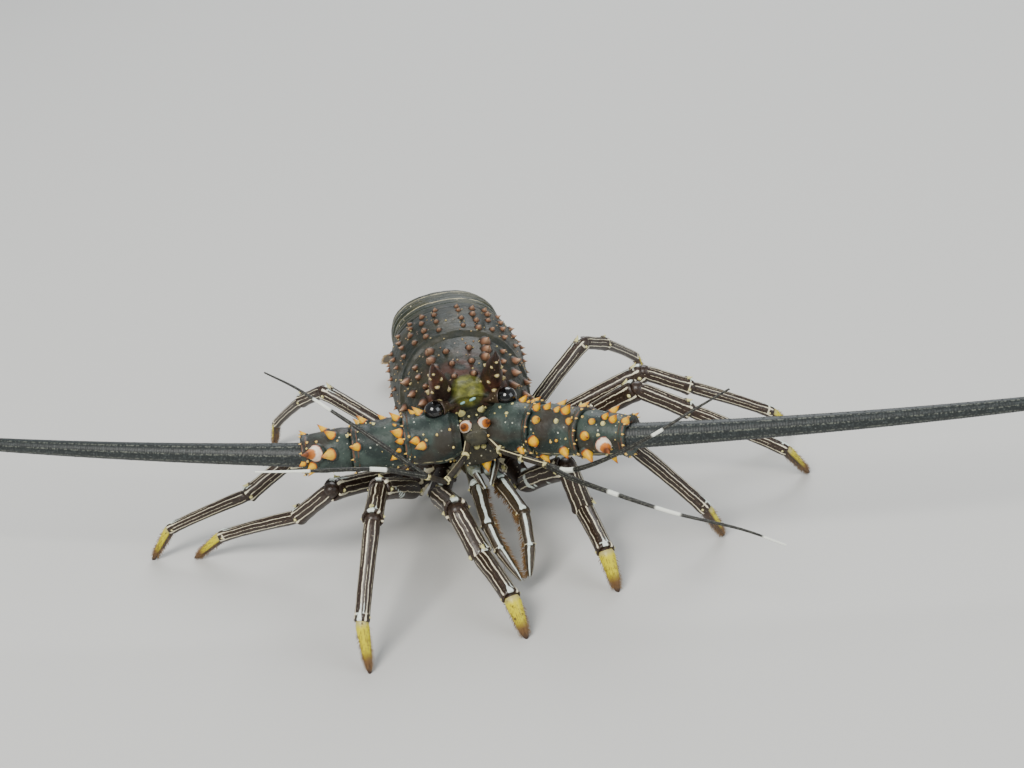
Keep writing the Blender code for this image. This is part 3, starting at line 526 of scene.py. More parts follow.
def shell_finish(name, deep, warm, speck, speck_share=0.3, gloss=0.5, spines=GOLDEN_SPINE):
    """Limy shell with a thin sheen: two dark tones clouded together, specks and spines."""
    finish = Finish(name)
    ground = finish.blend(finish.patches(0.42, 0.62, 75, 5.0), deep, warm)
    fine = finish.cloud(520, 4.0, 0.6)
    lighter = tuple(min(1, 2.0 * c + 0.008) for c in warm)
    ground = finish.blend(finish.times(finish.rise(fine, 0.54, 0.75), 0.45), ground, lighter)
    ground = finish.blend(finish.specks(2.9, 0.55, speck_share), ground, speck)
    small = finish.times(finish.specks(1.2, 0.2, 0.3), 0.7)
    ground = finish.blend(small, ground, tuple(c * 0.5 for c in speck))
    colour, on_spine = growth_colours(finish, spines)
    rough = finish.reckon("ADD", finish.times(fine, 0.22), gloss - 0.11)
    pits = finish.cells(900.0, "SMOOTH_F1")["Distance"]
    relief = finish.reckon("ADD", finish.times(pits, 0.5), fine)
    finish.wear(finish.blend(on_spine, ground, colour), rough, {
        "Normal": finish.bump(0.55, 0.0004, relief), "Specular IOR Level": 0.35,
        "Coat Weight": 0.08, "Coat Roughness": 0.25,
    })
    return finish


shell = shell_finish(
    "carapace_shell", (0.008, 0.012, 0.008), (0.028, 0.027, 0.015), (0.30, 0.21, 0.15), 0.2, 0.54,
    DULL_SHADED_SPINE,
)
bare = shell.bare()
rusty = shell.times(shell.near((0, -52, 98), 26, 14), shell.patches(0.44, 0.60, 110))
shell.lay((0.060, 0.022, 0.013), rusty, bare)
soft_tone = shell.blend(
    shell.patches(0.42, 0.62, 330), (0.080, 0.085, 0.012), (0.16, 0.165, 0.026)
)
shell.lay(soft_tone, shell.near((0, -46.5, 91.5), 8.2, 1.6), bare)

y = np.linspace(CARAPACE_STATIONS[0, 0], CARAPACE_STATIONS[-1, 0], CARAPACE_ROWS)
half_width, top, belly = eased(y, CARAPACE_STATIONS, 3.0)
skin = upright_rings(
    y, WIDEST_Z, half_width, top - WIDEST_Z, CARAPACE_COLUMNS, SHELL_SQUARENESS, WIDEST_Z - belly
)
angle = np.abs(((np.arange(CARAPACE_COLUMNS) * 360 / CARAPACE_COLUMNS) + 180) % 360 - 180)[None]
along = y[:, None]
# The neck groove, the one before the rear rim, a pair lengthwise and a swelling behind the neck
neck = -3 - 19 * (np.minimum(angle, 110) / 90) ** 1.7
carved = 1.9 * hump(along - neck, 1.9) * (angle < 118)
carved += 1.3 * hump(along - 44.0, 1.3) * (angle < 130)
carved += 0.7 * hump(angle - 27 - along * 0.12, 3.2) * (along > 2) * (along < 42)
carved -= 0.8 * hump(along - neck - 4.5, 2.6) * (angle < 110)
for lobe in SOFT_LOBES:
    off = [(skin[..., i] - lobe[i]) / LOBE_REACH[i] for i in (0, 1)]
    carved -= LOBE_HEIGHT * np.exp(-(off[0] ** 2 + off[1] ** 2)) * (angle < 60)
skin = roughened(skin - outward(skin) * carved[..., None], 0.28, 5.5)
skin = roughened(skin, 0.10, 1.6, 40.0)


def rolled(skin, inset, depth, end):
    """Rings that turn a skin's end rim inwards, as a shell's edge does."""
    rim, middle = skin[end], skin[end].mean(0)
    back = skin[end] - skin[end + (1 if end == 0 else -1)]
    outwards = unit(back.mean(0))
    steps = ((0.25, 0.5), (0.6, 0.72), (1.0, 0.2), (1.0, -1.0))
    return [rim + (middle - rim) * (inset * a) + outwards * (depth * b) for a, b in steps]


front, back = rolled(skin, 0.10, 1.0, 0), rolled(skin, 0.08, 1.0, -1)
form = Form(np.concatenate((front[::-1], skin, back)))
normals = outward(skin)


def nearest_on_shell(y, angle, side):
    """Point and normal of the carved carapace at an angle down from the midline of the back."""
    row = int(round((y + 50) / 100 * (CARAPACE_ROWS - 1)))
    column = int(round(side * angle / 360 * CARAPACE_COLUMNS)) % CARAPACE_COLUMNS
    return skin[row, column], normals[row, column]


chance = random.Random(11)
for side in (LEFT, RIGHT):
    for angle, length, places in CARAPACE_SPINES:
        for y in places:
            shifted = y + chance.uniform(-1, 1)
            root, normal = nearest_on_shell(shifted, angle + chance.uniform(-1, 1), side)
            size = length * chance.uniform(0.92, 1.08)
            way = normal * 0.62 + np.array((0, -0.78, 0))
            grow_spine(form, root, way, size * 1.02, size / 2.5, bend=normal * 0.16, sides=14)
chance = random.Random(5)
for _ in range(WARTS):
    y, angle, side = chance.uniform(-47, 42), chance.uniform(0, 104), chance.choice((LEFT, RIGHT))
    root, normal = nearest_on_shell(y, angle, side)
    if abs(root[0]) < 9 and y < -38:
        continue
    size = chance.uniform(0.45, 1.0) * (1.25 if y < -5 else 1.0)
    way = normal * 0.8 + np.array((0, -0.5, 0))
    grow_spine(form, root, way, size, size * 0.6, tint=chance.uniform(0, 0.7), sides=7)
for side in (LEFT, RIGHT):
    for angle in range(34, 112, 11):
        root, normal = nearest_on_shell(-49.4, angle, side)
        grow_spine(form, root, normal * 0.30 + np.array((0, -0.95, 0)), 2.6, 0.95, tint=0.4)
form.make("carapace_shield", shell, "shell", "carapace")


# Brow marks. Two short bars of blue-white enamel lie on the carapace's front edge between the
# eyes.

BROW_MARKS = (
    ((-5.0, -51.0, 86.4), (-2.4, -51.0, 87.2), 0.65),
    ((-0.2, -51.0, 87.2), (3.2, -51.0, 88.4), 0.75),
)

UP = Vector((0, 0, 1))


def carried_axes(points):
    """Sideways and upward axes along a line of points, carried along without twist."""
    tangents = np.gradient(points, axis=0)
    tangents /= np.linalg.norm(tangents, axis=1, keepdims=True)
    tangents = [Vector(t) for t in tangents]
    across = tangents[0].cross(UP).normalized()
    sideways, upwards = [], []
    for before, tangent in zip([tangents[0], *tangents], tangents):
        across = before.rotation_difference(tangent) @ across
        sideways.append(across)
        upwards.append(across.cross(tangent).normalized())
    return np.array(sideways), np.array(upwards)


def tube(points, half_widths, half_heights, sides, square=2):
    """Rounded rings along a line of points."""
    across, upwards = carried_axes(points)
    return rounded_rings(points, across, upwards, half_widths, half_heights, sides, square)


brow_enamel = Finish("brow_enamel")
brow_tone = brow_enamel.blend(brow_enamel.cloud(500), (0.10, 0.30, 0.30), (0.38, 0.58, 0.54))
brow_enamel.wear(brow_tone, 0.4)
run = np.linspace(0, 1, 17)
swell = np.sqrt(np.maximum(0.004, 1 - np.abs(2 * run - 1) ** 3.2))
form = Form()
for start, end, radius in BROW_MARKS:
    start, end = np.array(start, float), np.array(end, float)
    points = start + (end - start) * run[:, None]
    form.add_skin(tube(points, radius * swell, radius * swell, 14), share=np.full(17, 0.5))
form.make("brow_marks", brow_enamel, "shell")


# Horns. The pair of stout horns over the eyes grow from the carapace's front corners. They are
# hollow in life, flattened from side to side, and reddish brown with pinkish dots.

HORN_POINTS = (
    (13, -40, 88), (13.6, -46, 96), (14.6, -54, 104.5), (15.4, -61, 111.5), (15.6, -65, 117)
)
HORN_SIZES = ((6, 7.5), (5.2, 6.6), (3.8, 4.8), (2.1, 2.6), (0.5, 0.5))
# Dots on a horn: the share up it, the turn round it in degrees and half thickness
HORN_DOTS = (
    (0.12, -60, 1.2), (0.16, 95, 1.5), (0.20, 175, 1.4), (0.30, -120, 1.3), (0.34, 140, 1.1),
    (0.44, 60, 1.0), (0.50, 180, 1.3), (0.60, -130, 1.0), (0.66, 130, 0.9), (0.80, 178, 0.8),
)

HORN_COLUMNS = 40


def smooth_route(points, steps):
    """Points on a smooth curve through the given ones."""
    points = [np.array(point, float) for point in points]
    padded = [points[0] * 2 - points[1], *points, points[-1] * 2 - points[-2]]
    route = []
    for a, b, c, d in zip(padded, padded[1:], padded[2:], padded[3:]):
        for i in range(steps):
            t = i / steps
            bend = (2 * a - 5 * b + 4 * c - d) * t**2
            twist = (3 * b - a - 3 * c + d) * t**3
            route.append(0.5 * (2 * b + (c - a) * t + bend + twist))
    return np.array([*route, points[-1]])


def lasting(sizes, steps):
    """Sizes read evenly between the given ones, steps to each gap."""
    return np.interp(np.arange((len(sizes) - 1) * steps + 1) / steps, np.arange(len(sizes)), sizes)


horn_shell = shell_finish(
    "horn_shell", (0.020, 0.010, 0.007), (0.075, 0.027, 0.015), (0.50, 0.33, 0.25), 0.3, 0.5,
    DULL_SHADED_SPINE,
)
for side, side_name in SIDES:
    route = smooth_route([(side * x, y, z) for x, y, z in HORN_POINTS], 9)
    root_flare = 1 + 0.28 * hump(np.linspace(0, 1, len(route)), 0.12)
    wide, tall = (lasting([size[i] for size in HORN_SIZES], 9) * root_flare for i in (0, 1))
    horn = roughened(tube(route, wide, tall, HORN_COLUMNS), 0.22, 4.0, 9.0 * side)
    normals = outward(horn)
    form = Form(horn)
    for share, turn, radius in HORN_DOTS:
        row, column = int(share * (len(route) - 1)), int(turn / 360 * HORN_COLUMNS) % HORN_COLUMNS
        way = normals[row, column] * 0.8 + np.array((0, -0.3, 0.4))
        grow_spine(form, horn[row, column], way, radius * 1.4, radius, tint=0.55)
    form.make("horn_shell_" + side_name, horn_shell, "shell", "horn_" + side_name)


# Eyes. Each is a black, glossy, faintly faceted ball set in the cup of a short movable stalk
# that comes out under the horn.

EYE_CENTRE = np.array((18.5, -54, 87))
EYE_RADIUS = 5.0
EYE_STALK_ROOT = np.array((7, -46, 85))
# The stalk's half thickness at shares of its length
STALK_RUN = (0, 0.2, 0.45, 0.62, 0.74, 0.80, 0.82, 0.80)
STALK_GIRTHS = (2.5, 2.7, 3.0, 3.9, 4.7, 4.9, 4.7, 4.2)
# The share that tells the finish of the ball from its stalk
BALL = 2.0


def joint_axes(start, end):
    """Along, across and upward axes of a straight joint."""
    way = unit(end - start)
    across = unit(np.cross(way, UP))
    return way, across, np.cross(across, way)


def ball_rings(centre, way, across, lift, radius, margin, rows, columns):
    """Rings of a ball, from its pole behind to the one ahead."""
    pole = np.linspace(margin, np.pi - margin, rows)
    girths = np.sin(pole) * radius
    points = centre - way * (np.cos(pole) * radius)[:, None]
    return rounded_rings(points, across, lift, girths, girths, columns)


eye_gloss = Finish("eye_gloss")
on_ball = eye_gloss.rise(eye_gloss.marks("place")[2], 1.45, 1.55)
stalk_dots = eye_gloss.specks(1.5, 0.4, 0.5)
stalk_tone = eye_gloss.blend(stalk_dots, (0.040, 0.024, 0.014), (0.42, 0.36, 0.24))
eye_tone = eye_gloss.blend(on_ball, stalk_tone, (0.0022, 0.0020, 0.0024))
eye_gloss.wear(eye_tone, eye_gloss.reckon("SUBTRACT", 0.42, eye_gloss.times(on_ball, 0.30)), {
    "Normal": eye_gloss.bump(0.10, 0.0001, eye_gloss.cells(3600.0)["Distance"]),
    "Coat Weight": 0.4, "Coat Roughness": 0.05,
})

for side, side_name in SIDES:
    mirror = np.array((side, 1, 1))
    centre, root = EYE_CENTRE * mirror, EYE_STALK_ROOT * mirror
    reach = np.linalg.norm(centre - root)
    way, across, lift = joint_axes(root, centre)
    run, girths = lasting(STALK_RUN, 4), lasting(STALK_GIRTHS, 4)
    points = root + way * (run * reach)[:, None]
    form = Form(rounded_rings(points, across, lift, girths, girths, 28), run)
    ball = ball_rings(centre, way, across, lift, EYE_RADIUS, 0.02, 26, 36)
    form.add_skin(ball, share=np.full(len(ball), BALL))
    form.make("eye_on_stalk_" + side_name, eye_gloss, "eye", "eye_" + side_name)


# Antennular plate. The small shield between the antennae carries the feelers' stalks. It bears
# one big pair of white-ringed spines in front and a smaller pale yellow pair behind.

# Stations from front to rear: y, half width, top and bottom height
PLATE_STATIONS = np.array((
    (-64, 5.5, 76.5, 69),
    (-61, 7.4, 79, 67),
    (-52, 9, 81.5, 66),
    (-44, 9.5, 82, 66),
))
# Pairs of spines: place, length, half thickness, turn outwards and rise in degrees, and ringed
PLATE_SPINES = (
    ((4.6, -60, 77.5), 11.5, 3.3, 14, 27, 1.0),
    ((4.9, -51, 80.5), 6.4, 2.1, 12, 44, 0.0),
)
# How the plate's front end closes: how far in from its rim and how far ahead
PLATE_FRONT = ((0.04, 0.5), (0.14, 0.9), (0.40, 1.3), (0.75, 1.5))
PLATE_WARTS = (
    (2.0, -55.5, 81.0, 0.6),
    (6.6, -56.5, 79.6, 0.8),
    (2.4, -62.8, 76.6, 0.8),
    (7.4, -49, 81, 0.7),
)


def heading(turn, rise, side):
    """Unit vector turned outwards from straight ahead (-Y) and raised, both in degrees."""
    turn, rise = math.radians(turn), math.radians(rise)
    flat = math.cos(rise)
    return np.array((side * math.sin(turn) * flat, -math.cos(turn) * flat, math.sin(rise)))


plate_shell = shell_finish(
    "plate_shell", (0.013, 0.015, 0.013), (0.050, 0.046, 0.028), (0.66, 0.64, 0.52), 0.55
)
y = np.linspace(-44, -64, 40)
half_width, top, bottom = eased(y, PLATE_STATIONS, 1.4)
middle = (top + bottom) / 2
plate = roughened(upright_rings(y, middle, half_width, top - middle, 64, 3), 0.2, 3.0, 3.0)
rim, middle = plate[-1], plate[-1].mean(0)
domed = [rim + (middle - rim) * inwards - (0, ahead, 0) for inwards, ahead in PLATE_FRONT]
form = Form(np.concatenate((plate, domed)))
for side in (LEFT, RIGHT):
    for (x, y, z), length, radius, turn, rise, ringed in PLATE_SPINES:
        grow_spine(
            form, (side * x, y, z), heading(turn, rise, side), length, radius, bend=(0, 0, 0.10),
            tint=1.0 - ringed, ringed=ringed, sides=24,
        )
    for x, y, z, size in PLATE_WARTS:
        grow_spine(form, (side * x, y, z), heading(10, 45, side), size * 1.6, size, tint=1.0)
form.make("feeler_plate", plate_shell, "antenna", "antennular_plate")


# Antennules. Each first feeler is a stalk of three thin joints that forks into two ringed,
# whip-thin lashes. The stalk is dark with one pale line and yellowish knees, and the lashes
# are dark with white bands.

ANTENNULE_STALK = {
    LEFT: ((5, -62, 71), (10, -73, 67.5), (19, -86, 68), (29, -97, 67.5)),
    RIGHT: ((-5, -62, 71), (-8, -71, 67), (-20, -84, 62.5), (-29, -92, 72)),
}
ANTENNULE_LASHES = {
    LEFT: (
        ((29, -97, 67.5), (38, -107, 68), (53, -121, 77.5), (74, -131, 90), (93, -134, 100),
         (112, -133, 107)),
        ((29, -97, 67.5), (37, -111, 66.5), (51, -130, 66), (76, -152, 61), (103, -166, 54),
         (121, -174, 46)),
    ),
    RIGHT: (
        ((-29, -92, 72), (-41, -91, 86), (-54, -83, 97), (-68, -74, 108), (-82, -62, 117),
         (-96, -50, 123)),
        ((-29, -92, 72), (-48, -100, 84), (-65, -104, 90), (-84, -105, 94), (-106, -102, 97)),
    ),
}
# Where the white bands lie, as shares of each lash's length
LASH_BANDS = {
    LEFT: (((0.08, 0.16), (0.608, 0.664)), ((0.322, 0.368), (0.518, 0.615), (0.913, 1.0))),
    RIGHT: (((0.58, 0.69),), ((0.27, 0.37), (0.70, 1.0))),
}
LASH_ROOT, LASH_TIP = 1.5, 0.45
LASH_DARK, LASH_WHITE = (0.010, 0.010, 0.008), (0.80, 0.83, 0.74)
# Half thickness of the stalk's three joints, and how it changes at shares of each
STALK_SIZES = (1.9, 1.7, 1.55)
STALK_JOINT_RUN = (-0.05, 0.0, 0.06, 0.15, 0.5, 0.8, 0.92, 0.98, 1.0, 0.985)
STALK_JOINT_SHAPE = np.array((0.5, 0.72, 0.86, 0.92, 0.88, 0.96, 1.16, 1.20, 1.0, 0.6))


def turned_place(finish):
    """Turn round a skin from -1 to 1, 0 on top, and the share along it."""
    place = finish.marks("place")
    turn = finish.reckon("ARCTAN2", place[1], place[0])
    return finish.reckon("DIVIDE", turn, math.pi), place[2]


def banded(finish, value, bands, soft):
    """1 inside each of the bands and 0 between them."""
    stops = []
    for low, high in bands:
        stops += [(max(0, low - soft), 0.0), (low + soft, 1.0)]
        stops += [(min(1, high - soft), 1.0), (min(1, high + soft), 0.0)]
    if bands[-1][1] >= 1:
        stops = stops[:-1]
    return finish.ramp(value, *stops)


def lash_finish(name, ground, band, bands, line_strength):
    """Horny ringed skin, dark with pale bands and faint lengthwise lines of tiny thorns."""
    finish = Finish(name)
    turn, share = turned_place(finish)
    fine = finish.cloud(900)
    lighter = tuple(2.2 * c + 0.008 for c in ground)
    colour = finish.blend(finish.rise(fine, 0.45, 0.7), ground, lighter)
    wave = finish.reckon("SINE", finish.times(turn, 4 * math.pi))
    line = finish.rise(finish.reckon("ABSOLUTE", wave), 0.9, 1.0)
    line = finish.times(line, finish.rise(fine, 0.45, 0.6), line_strength)
    colour = finish.blend(line, colour, (0.34, 0.35, 0.27))
    if bands:
        colour = finish.blend(banded(finish, share, bands, 0.004), colour, band)
    relief = {"Normal": finish.bump(0.35, 0.0002, fine), "Specular IOR Level": 0.4}
    finish.wear(colour, 0.46, relief)
    return finish


def ringed_lash(route, root, tip, ring, sides, power=1.0, depth=0.05):
    """A tapering lash with a fine groove every ring millimetres."""
    run = np.r_[0, np.cumsum(np.linalg.norm(np.diff(route, axis=0), axis=1))]
    rings = int(run[-1] / ring)
    at = np.linspace(0, run[-1], rings * 3 + 1)
    points = np.stack([np.interp(at, run, route[:, i]) for i in range(3)], -1)
    share = at / run[-1]
    size = root + (tip - root) * share**power
    size = size * (1 - depth * (np.arange(len(at)) % 3 == 0))
    return tube(points, size, size, sides), share


def limb_rings(start, end, run, girth, columns, squash=1.0, bow=0.0, square=2):
    """Rings along one straight joint of a limb, at the shares of its length in run."""
    _, across, lift = joint_axes(start, end)
    share = np.clip(run, 0, 1)
    arch = lift * (bow * 4 * share * (1 - share))[:, None]
    points = start + (end - start) * run[:, None] + arch
    return rounded_rings(points, across, lift, girth * squash, girth, columns, square)


stalk_shell = shell_finish(
    "feeler_stalk_shell", (0.014, 0.011, 0.008), (0.040, 0.030, 0.018), (0.40, 0.36, 0.22)
)
turn, share = turned_place(stalk_shell)
stalk_shell.lay((0.66, 0.60, 0.36), banded(stalk_shell, turn, ((0.10, 0.20),), 0.02))
knee = banded(stalk_shell, share, ((0.88, 1.0),), 0.02)
stalk_shell.lay((0.62, 0.56, 0.26), knee, stalk_shell.patches(0.42, 0.52, 420))

for side, side_name in SIDES:
    joints = [np.array(point, float) for point in ANTENNULE_STALK[side]]
    joints[0] = joints[0] - (joints[1] - joints[0]) * 0.4
    form = Form()
    for size, start, end in zip(STALK_SIZES, joints, joints[1:]):
        run, girth = lasting(STALK_JOINT_RUN, 3), lasting(STALK_JOINT_SHAPE * size, 3)
        form.add_skin(limb_rings(start, end, run, girth, 18), share=np.clip(run, 0, 1))
    form.make("feeler_stalk_" + side_name, stalk_shell, "antenna", f"antennule_{side_name}_stalk")
    for name, points, bands in zip(("inner", "outer"), ANTENNULE_LASHES[side], LASH_BANDS[side]):
        form = Form(*ringed_lash(smooth_route(points, 12), LASH_ROOT, LASH_TIP, 1.0, 12))
        piece_name = f"feeler_{side_name}_{name}"
        lash_skin = lash_finish(piece_name + "_skin", LASH_DARK, LASH_WHITE, bands, 0.4)
        form.make(piece_name, lash_skin, "whip", f"antennule_{side_name}_{name}")


# Antennae. Each has three stout, spiny, drum-like joints, dark slate with pale dots, whose far
# rims are collared and overlap the next joint. Beyond them a stiff, ringed whip tapers away.

PEDUNCLE_START = (12, -54, 72)
PEDUNCLE_TURN = {LEFT: 52, RIGHT: 92}
PEDUNCLE_RISE = 3
# Each joint's length and its half thickness at its near and far end
PEDUNCLE_SEGMENTS = ((24, 13.6, 13.2), (26, 13.0, 11.8), (25, 11.5, 9.6))
PEDUNCLE_RUN = (-0.17, -0.02, 0.04, 0.20, 0.55, 0.80, 0.86, 0.92, 0.975, 1.0, 1.0, 0.97)
PEDUNCLE_SHAPE = (0.70, 0.84, 0.93, 1.0, 0.985, 0.965, 0.955, 1.03, 1.05, 0.99, 0.86, 0.6)
PEDUNCLE_COLUMNS = 84
# Spines of each joint: angle from the top towards the front, share of the joint's length and
# half thickness. They are orange yellow but for PALE blunt ones and RINGED ones like eye spots.
PALE, RINGED = "pale", "ringed"
FRONT_SPINES = {
    LEFT: {
        "base": (
            (-20, 0.58, 2.0), (-14, 0.76, 0.9), (-12, 0.88, 1.0), (2, 0.47, 0.8, PALE),
            (32, 0.47, 1.1, PALE), (116, 0.77, 2.0),
        ),
        "arm": (
            (4, 0.27, 2.0), (10, 0.07, 2.1), (10, 0.51, 1.8), (10, 0.69, 2.5), (38, 0.85, 1.9),
            (40, 0.59, 1.4, PALE), (42, 0.17, 2.2), (70, 0.95, 0.9, PALE), (86, 0.61, 0.9),
            (90, 0.13, 2.9), (114, 0.71, 2.6), (148, 0.15, 2.5),
        ),
        "wrist": (
            (12, 0.53, 1.8), (18, 0.71, 2.1), (18, 0.97, 2.0), (32, 0.31, 1.8),
            (34, 0.55, 1.4, PALE), (66, 0.49, 1.1, PALE), (70, 0.21, 2.4), (92, 0.59, 4.0, RINGED),
            (122, 0.17, 3.0), (146, 0.63, 2.0),
        ),
    },
    RIGHT: {
        "base": (
            (-10, 0.60, 2.3), (8, 0.41, 0.9, PALE), (66, 0.75, 2.2), (78, 0.64, 2.4),
        ),
        "arm": (
            (-24, 0.71, 2.2), (-2, 0.08, 2.2), (2, 0.91, 1.0, PALE), (4, 0.53, 1.0, PALE),
            (22, 0.13, 0.9), (44, 0.08, 2.5), (62, 0.06, 1.8), (62, 0.89, 2.2), (82, 0.11, 1.2),
            (96, 0.19, 1.8),
        ),
        "wrist": (
            (-22, 0.91, 1.5), (20, 0.35, 2.4), (28, 0.05, 1.0, PALE), (64, 0.71, 4.0, RINGED),
            (72, 0.41, 3.0), (90, 0.97, 1.5), (100, 0.79, 2.2), (124, 0.83, 1.5),
        ),
    },
}
REAR_SPINES = {
    "base": ((-48, 0.70, 2.1), (-90, 0.62, 1.5)),
    "arm": (
        (-46, 0.32, 2.1), (-46, 0.80, 2.1), (-100, 0.55, 1.8), (-70, 0.58, 1.3, PALE),
    ),
    "wrist": (
        (-38, 0.50, 2.2), (-62, 0.84, 2.0), (-95, 0.45, 2.0), (-110, 0.84, 1.8),
    ),
}
PEDUNCLE_WARTS = 22
# Rows back from a joint's far end to its collar, and columns between the collar's small spines
COLLAR_ROWS, COLLAR_GAP = 18, 7
WHIP_LENGTH = 400
WHIP_ROOT, WHIP_TIP, WHIP_RING = 6.3, 0.6, 1.3
# Turn outwards and rise of the whip, in degrees, at its root and at its tip
WHIP_BEND = {LEFT: ((74, -1), (84, 2)), RIGHT: ((106, 5), (124, 2))}
WHIP_STEPS, WHIP_COLUMNS = 24, 24


def softened(sizes, weights=(0.1, 0.22, 0.36, 0.22, 0.1)):
    """Sizes with their corners rounded, each a weighted mean of its neighbours."""
    reach = len(weights) // 2
    return np.convolve(np.r_[[sizes[0]] * reach, sizes, [sizes[-1]] * reach], weights, "valid")


antenna_shell = shell_finish(
    "antenna_shell", (0.014, 0.024, 0.021), (0.040, 0.060, 0.050), (0.52, 0.54, 0.44), 0.40
)
turn, share = turned_place(antenna_shell)
bare = antenna_shell.bare()
brown = antenna_shell.times(antenna_shell.patches(0.5, 0.66, 46, 2.0), 0.8)
antenna_shell.lay((0.030, 0.021, 0.014), brown, bare)
collar = banded(antenna_shell, share, ((0.88, 0.90), (0.955, 0.985)), 0.006)
broken = antenna_shell.patches(0.42, 0.55, 280)
antenna_shell.lay((0.13, 0.060, 0.032), collar, broken, bare)
under_line = banded(antenna_shell, turn, ((0.70, 0.73),), 0.008)
antenna_shell.lay((0.48, 0.44, 0.24), under_line, broken, bare)
whip_skin = lash_finish("whip_skin", (0.013, 0.017, 0.017), (0, 0, 0), (), 0.28)

for side, side_name in SIDES:
    direction = heading(PEDUNCLE_TURN[side], PEDUNCLE_RISE, side)
    lift = unit(np.array((0, 0, 1)) - direction * direction[2])
    forwards = np.cross(direction, lift) * side
    start = np.array((side * PEDUNCLE_START[0], *PEDUNCLE_START[1:]), float)
    chance = random.Random(20 + side)
    run, shape = lasting(PEDUNCLE_RUN, 6), softened(lasting(PEDUNCLE_SHAPE, 6))
    for name, (length, near, far) in zip(REAR_SPINES, PEDUNCLE_SEGMENTS):
        girth = (near + (far - near) * np.clip(run, 0, 1)) * shape
        centres = start + direction * (run * length)[:, None]
        grid = rounded_rings(
            centres, forwards, lift, girth, girth, PEDUNCLE_COLUMNS, 2.12, girth * 0.99
        )
        grid = roughened(grid, 0.30, 6.0, 13.0 * side)
        grid = roughened(grid, 0.10, 1.8, 31.0)
        normals = outward(grid)
        form = Form(grid, np.clip(run, 0, 1))
        for angle, share, radius, *kind in FRONT_SPINES[side][name] + REAR_SPINES[name]:
            turn = math.radians(angle)
            normal = lift * math.cos(turn) + forwards * math.sin(turn)
            root = start + direction * (length * share)
            root = root + normal * ((near + (far - near) * share) * 0.97)
            grow_spine(
                form, root, normal * 0.82 + direction * 0.57,
                radius * (1.6 if kind == [PALE] else 2.4), radius, bend=direction * 0.12,
                tint=1.0 if kind == [PALE] else chance.choice((0, 0, 0.12)),
                ringed=float(kind == [RINGED]), sides=20,
            )
        for _ in range(PEDUNCLE_WARTS):
            row = chance.randrange(8, len(run) - COLLAR_ROWS - 4)
            column = chance.randrange(PEDUNCLE_COLUMNS)
            size = chance.choice((0.35, 0.45, 0.6, 0.8))
            way = normals[row, column] * 0.85 + direction * 0.45
            tint = chance.uniform(0.4, 1)
            grow_spine(form, grid[row, column], way, size * 1.5, size, tint=tint, sides=8)
        for column in range(0, PEDUNCLE_COLUMNS, COLLAR_GAP):
            row = len(run) - COLLAR_ROWS
            way = normals[row, column] * 0.35 + direction * 0.9
            grow_spine(form, grid[row, column], way, 1.7, 0.6, tint=0.35, sides=8)
        node_name = f"antenna_{side_name}_{name}"
        form.make(f"antenna_{name}_{side_name}", antenna_shell, "antenna", node_name)
        start = start + direction * length

    (turn_near, rise_near), (turn_far, rise_far) = WHIP_BEND[side]
    points = [start - heading(turn_near, rise_near, side) * 3]
    for i in range(WHIP_STEPS + 1):
        share = i / WHIP_STEPS
        turn = turn_near + (turn_far - turn_near) * share
        rise = rise_near + (rise_far - rise_near) * share
        step = heading(turn, rise, side) * ((WHIP_LENGTH + 3) / (WHIP_STEPS + 1))
        points.append(points[-1] + step)
    route = smooth_route(points, 6)
    grid, share = ringed_lash(route, WHIP_ROOT, WHIP_TIP, WHIP_RING, WHIP_COLUMNS, 0.85, 0.022)
    form = Form(grid, share)
    normals = outward(grid)
    along = np.gradient(grid.mean(1), axis=0)
    along /= np.linalg.norm(along, axis=1, keepdims=True)
    for row in range(6, len(grid) - 60, 9):
        for column in range(0, WHIP_COLUMNS, 6):
            column = (column + row // 9 % 2 * 3) % WHIP_COLUMNS
            way = normals[row, column] * 0.5 + along[row] * 0.85
            size = 0.4 + 0.5 * (1 - share[row])
            grow_spine(form, grid[row, column], way, size, size * 0.32, tint=0.6, sides=4)
    names = [f"antenna_{side_name}_whip_{number}" for number in (1, 2, 3)]
    form.make("whip_" + side_name, whip_skin, "whip", *names)


# Mouth frame. The block of shell between the antennae and the mouth has one orange tooth in
# the middle. Under it the two jaws meet: hard, smooth and bluish white, with pale palps and a
# pair of small striped mouth limbs before them.

# Stations from front to rear: y, half width, top and bottom height
EPISTOME_STATIONS = np.array((
    (-61, 8, 67, 57),
    (-57, 11, 68, 55),
    (-50, 14, 67, 52),
    (-40, 15, 64, 51),
    (-28, 9, 60, 50.5),
))
TOOTH_PLACE, TOOTH_LENGTH, TOOTH_RADIUS = (2.6, -58, 55.6), 6.5, 2.8
# Pale knobs in front of the frame, and small spines along its lower edge: place and size
NODULES = (
    (-0.9, -61.5, 66.6, 1.5), (2.5, -61.5, 66.2, 1.3), (-4.6, -60, 63.5, 1.1), (7.0, -59, 61.5, 1.1)
)
EDGE_SPINES = ((6.5, -59.5, 57.5, 2.2), (10, -56.5, 57.5, 2.2), (12.8, -52, 57, 2.0))
JAW_POINTS = ((3.9, -42, 52), (4, -50, 49.5), (3.2, -56, 48.5))
SMALL_MOUTH_LIMBS = (
    ((-5, -44, 49), (-4.5, -52, 50), (-2.2, -58, 45.5), (-0.5, -60, 41.5)),
    ((6, -44, 50), (7.5, -52, 51), (5.2, -58, 48), (2.8, -60, 43)),
)

mouth_shell = shell_finish(
    "mouth_frame_shell", (0.012, 0.012, 0.008), (0.040, 0.034, 0.018), (0.50, 0.48, 0.34), 0.5
)
jaw_shell = Finish("jaw_shell")
worn = jaw_shell.patches(0.4, 0.62, 240)
jaw_shell.wear(jaw_shell.blend(worn, (0.52, 0.60, 0.56), (0.20, 0.21, 0.13)), 0.28)

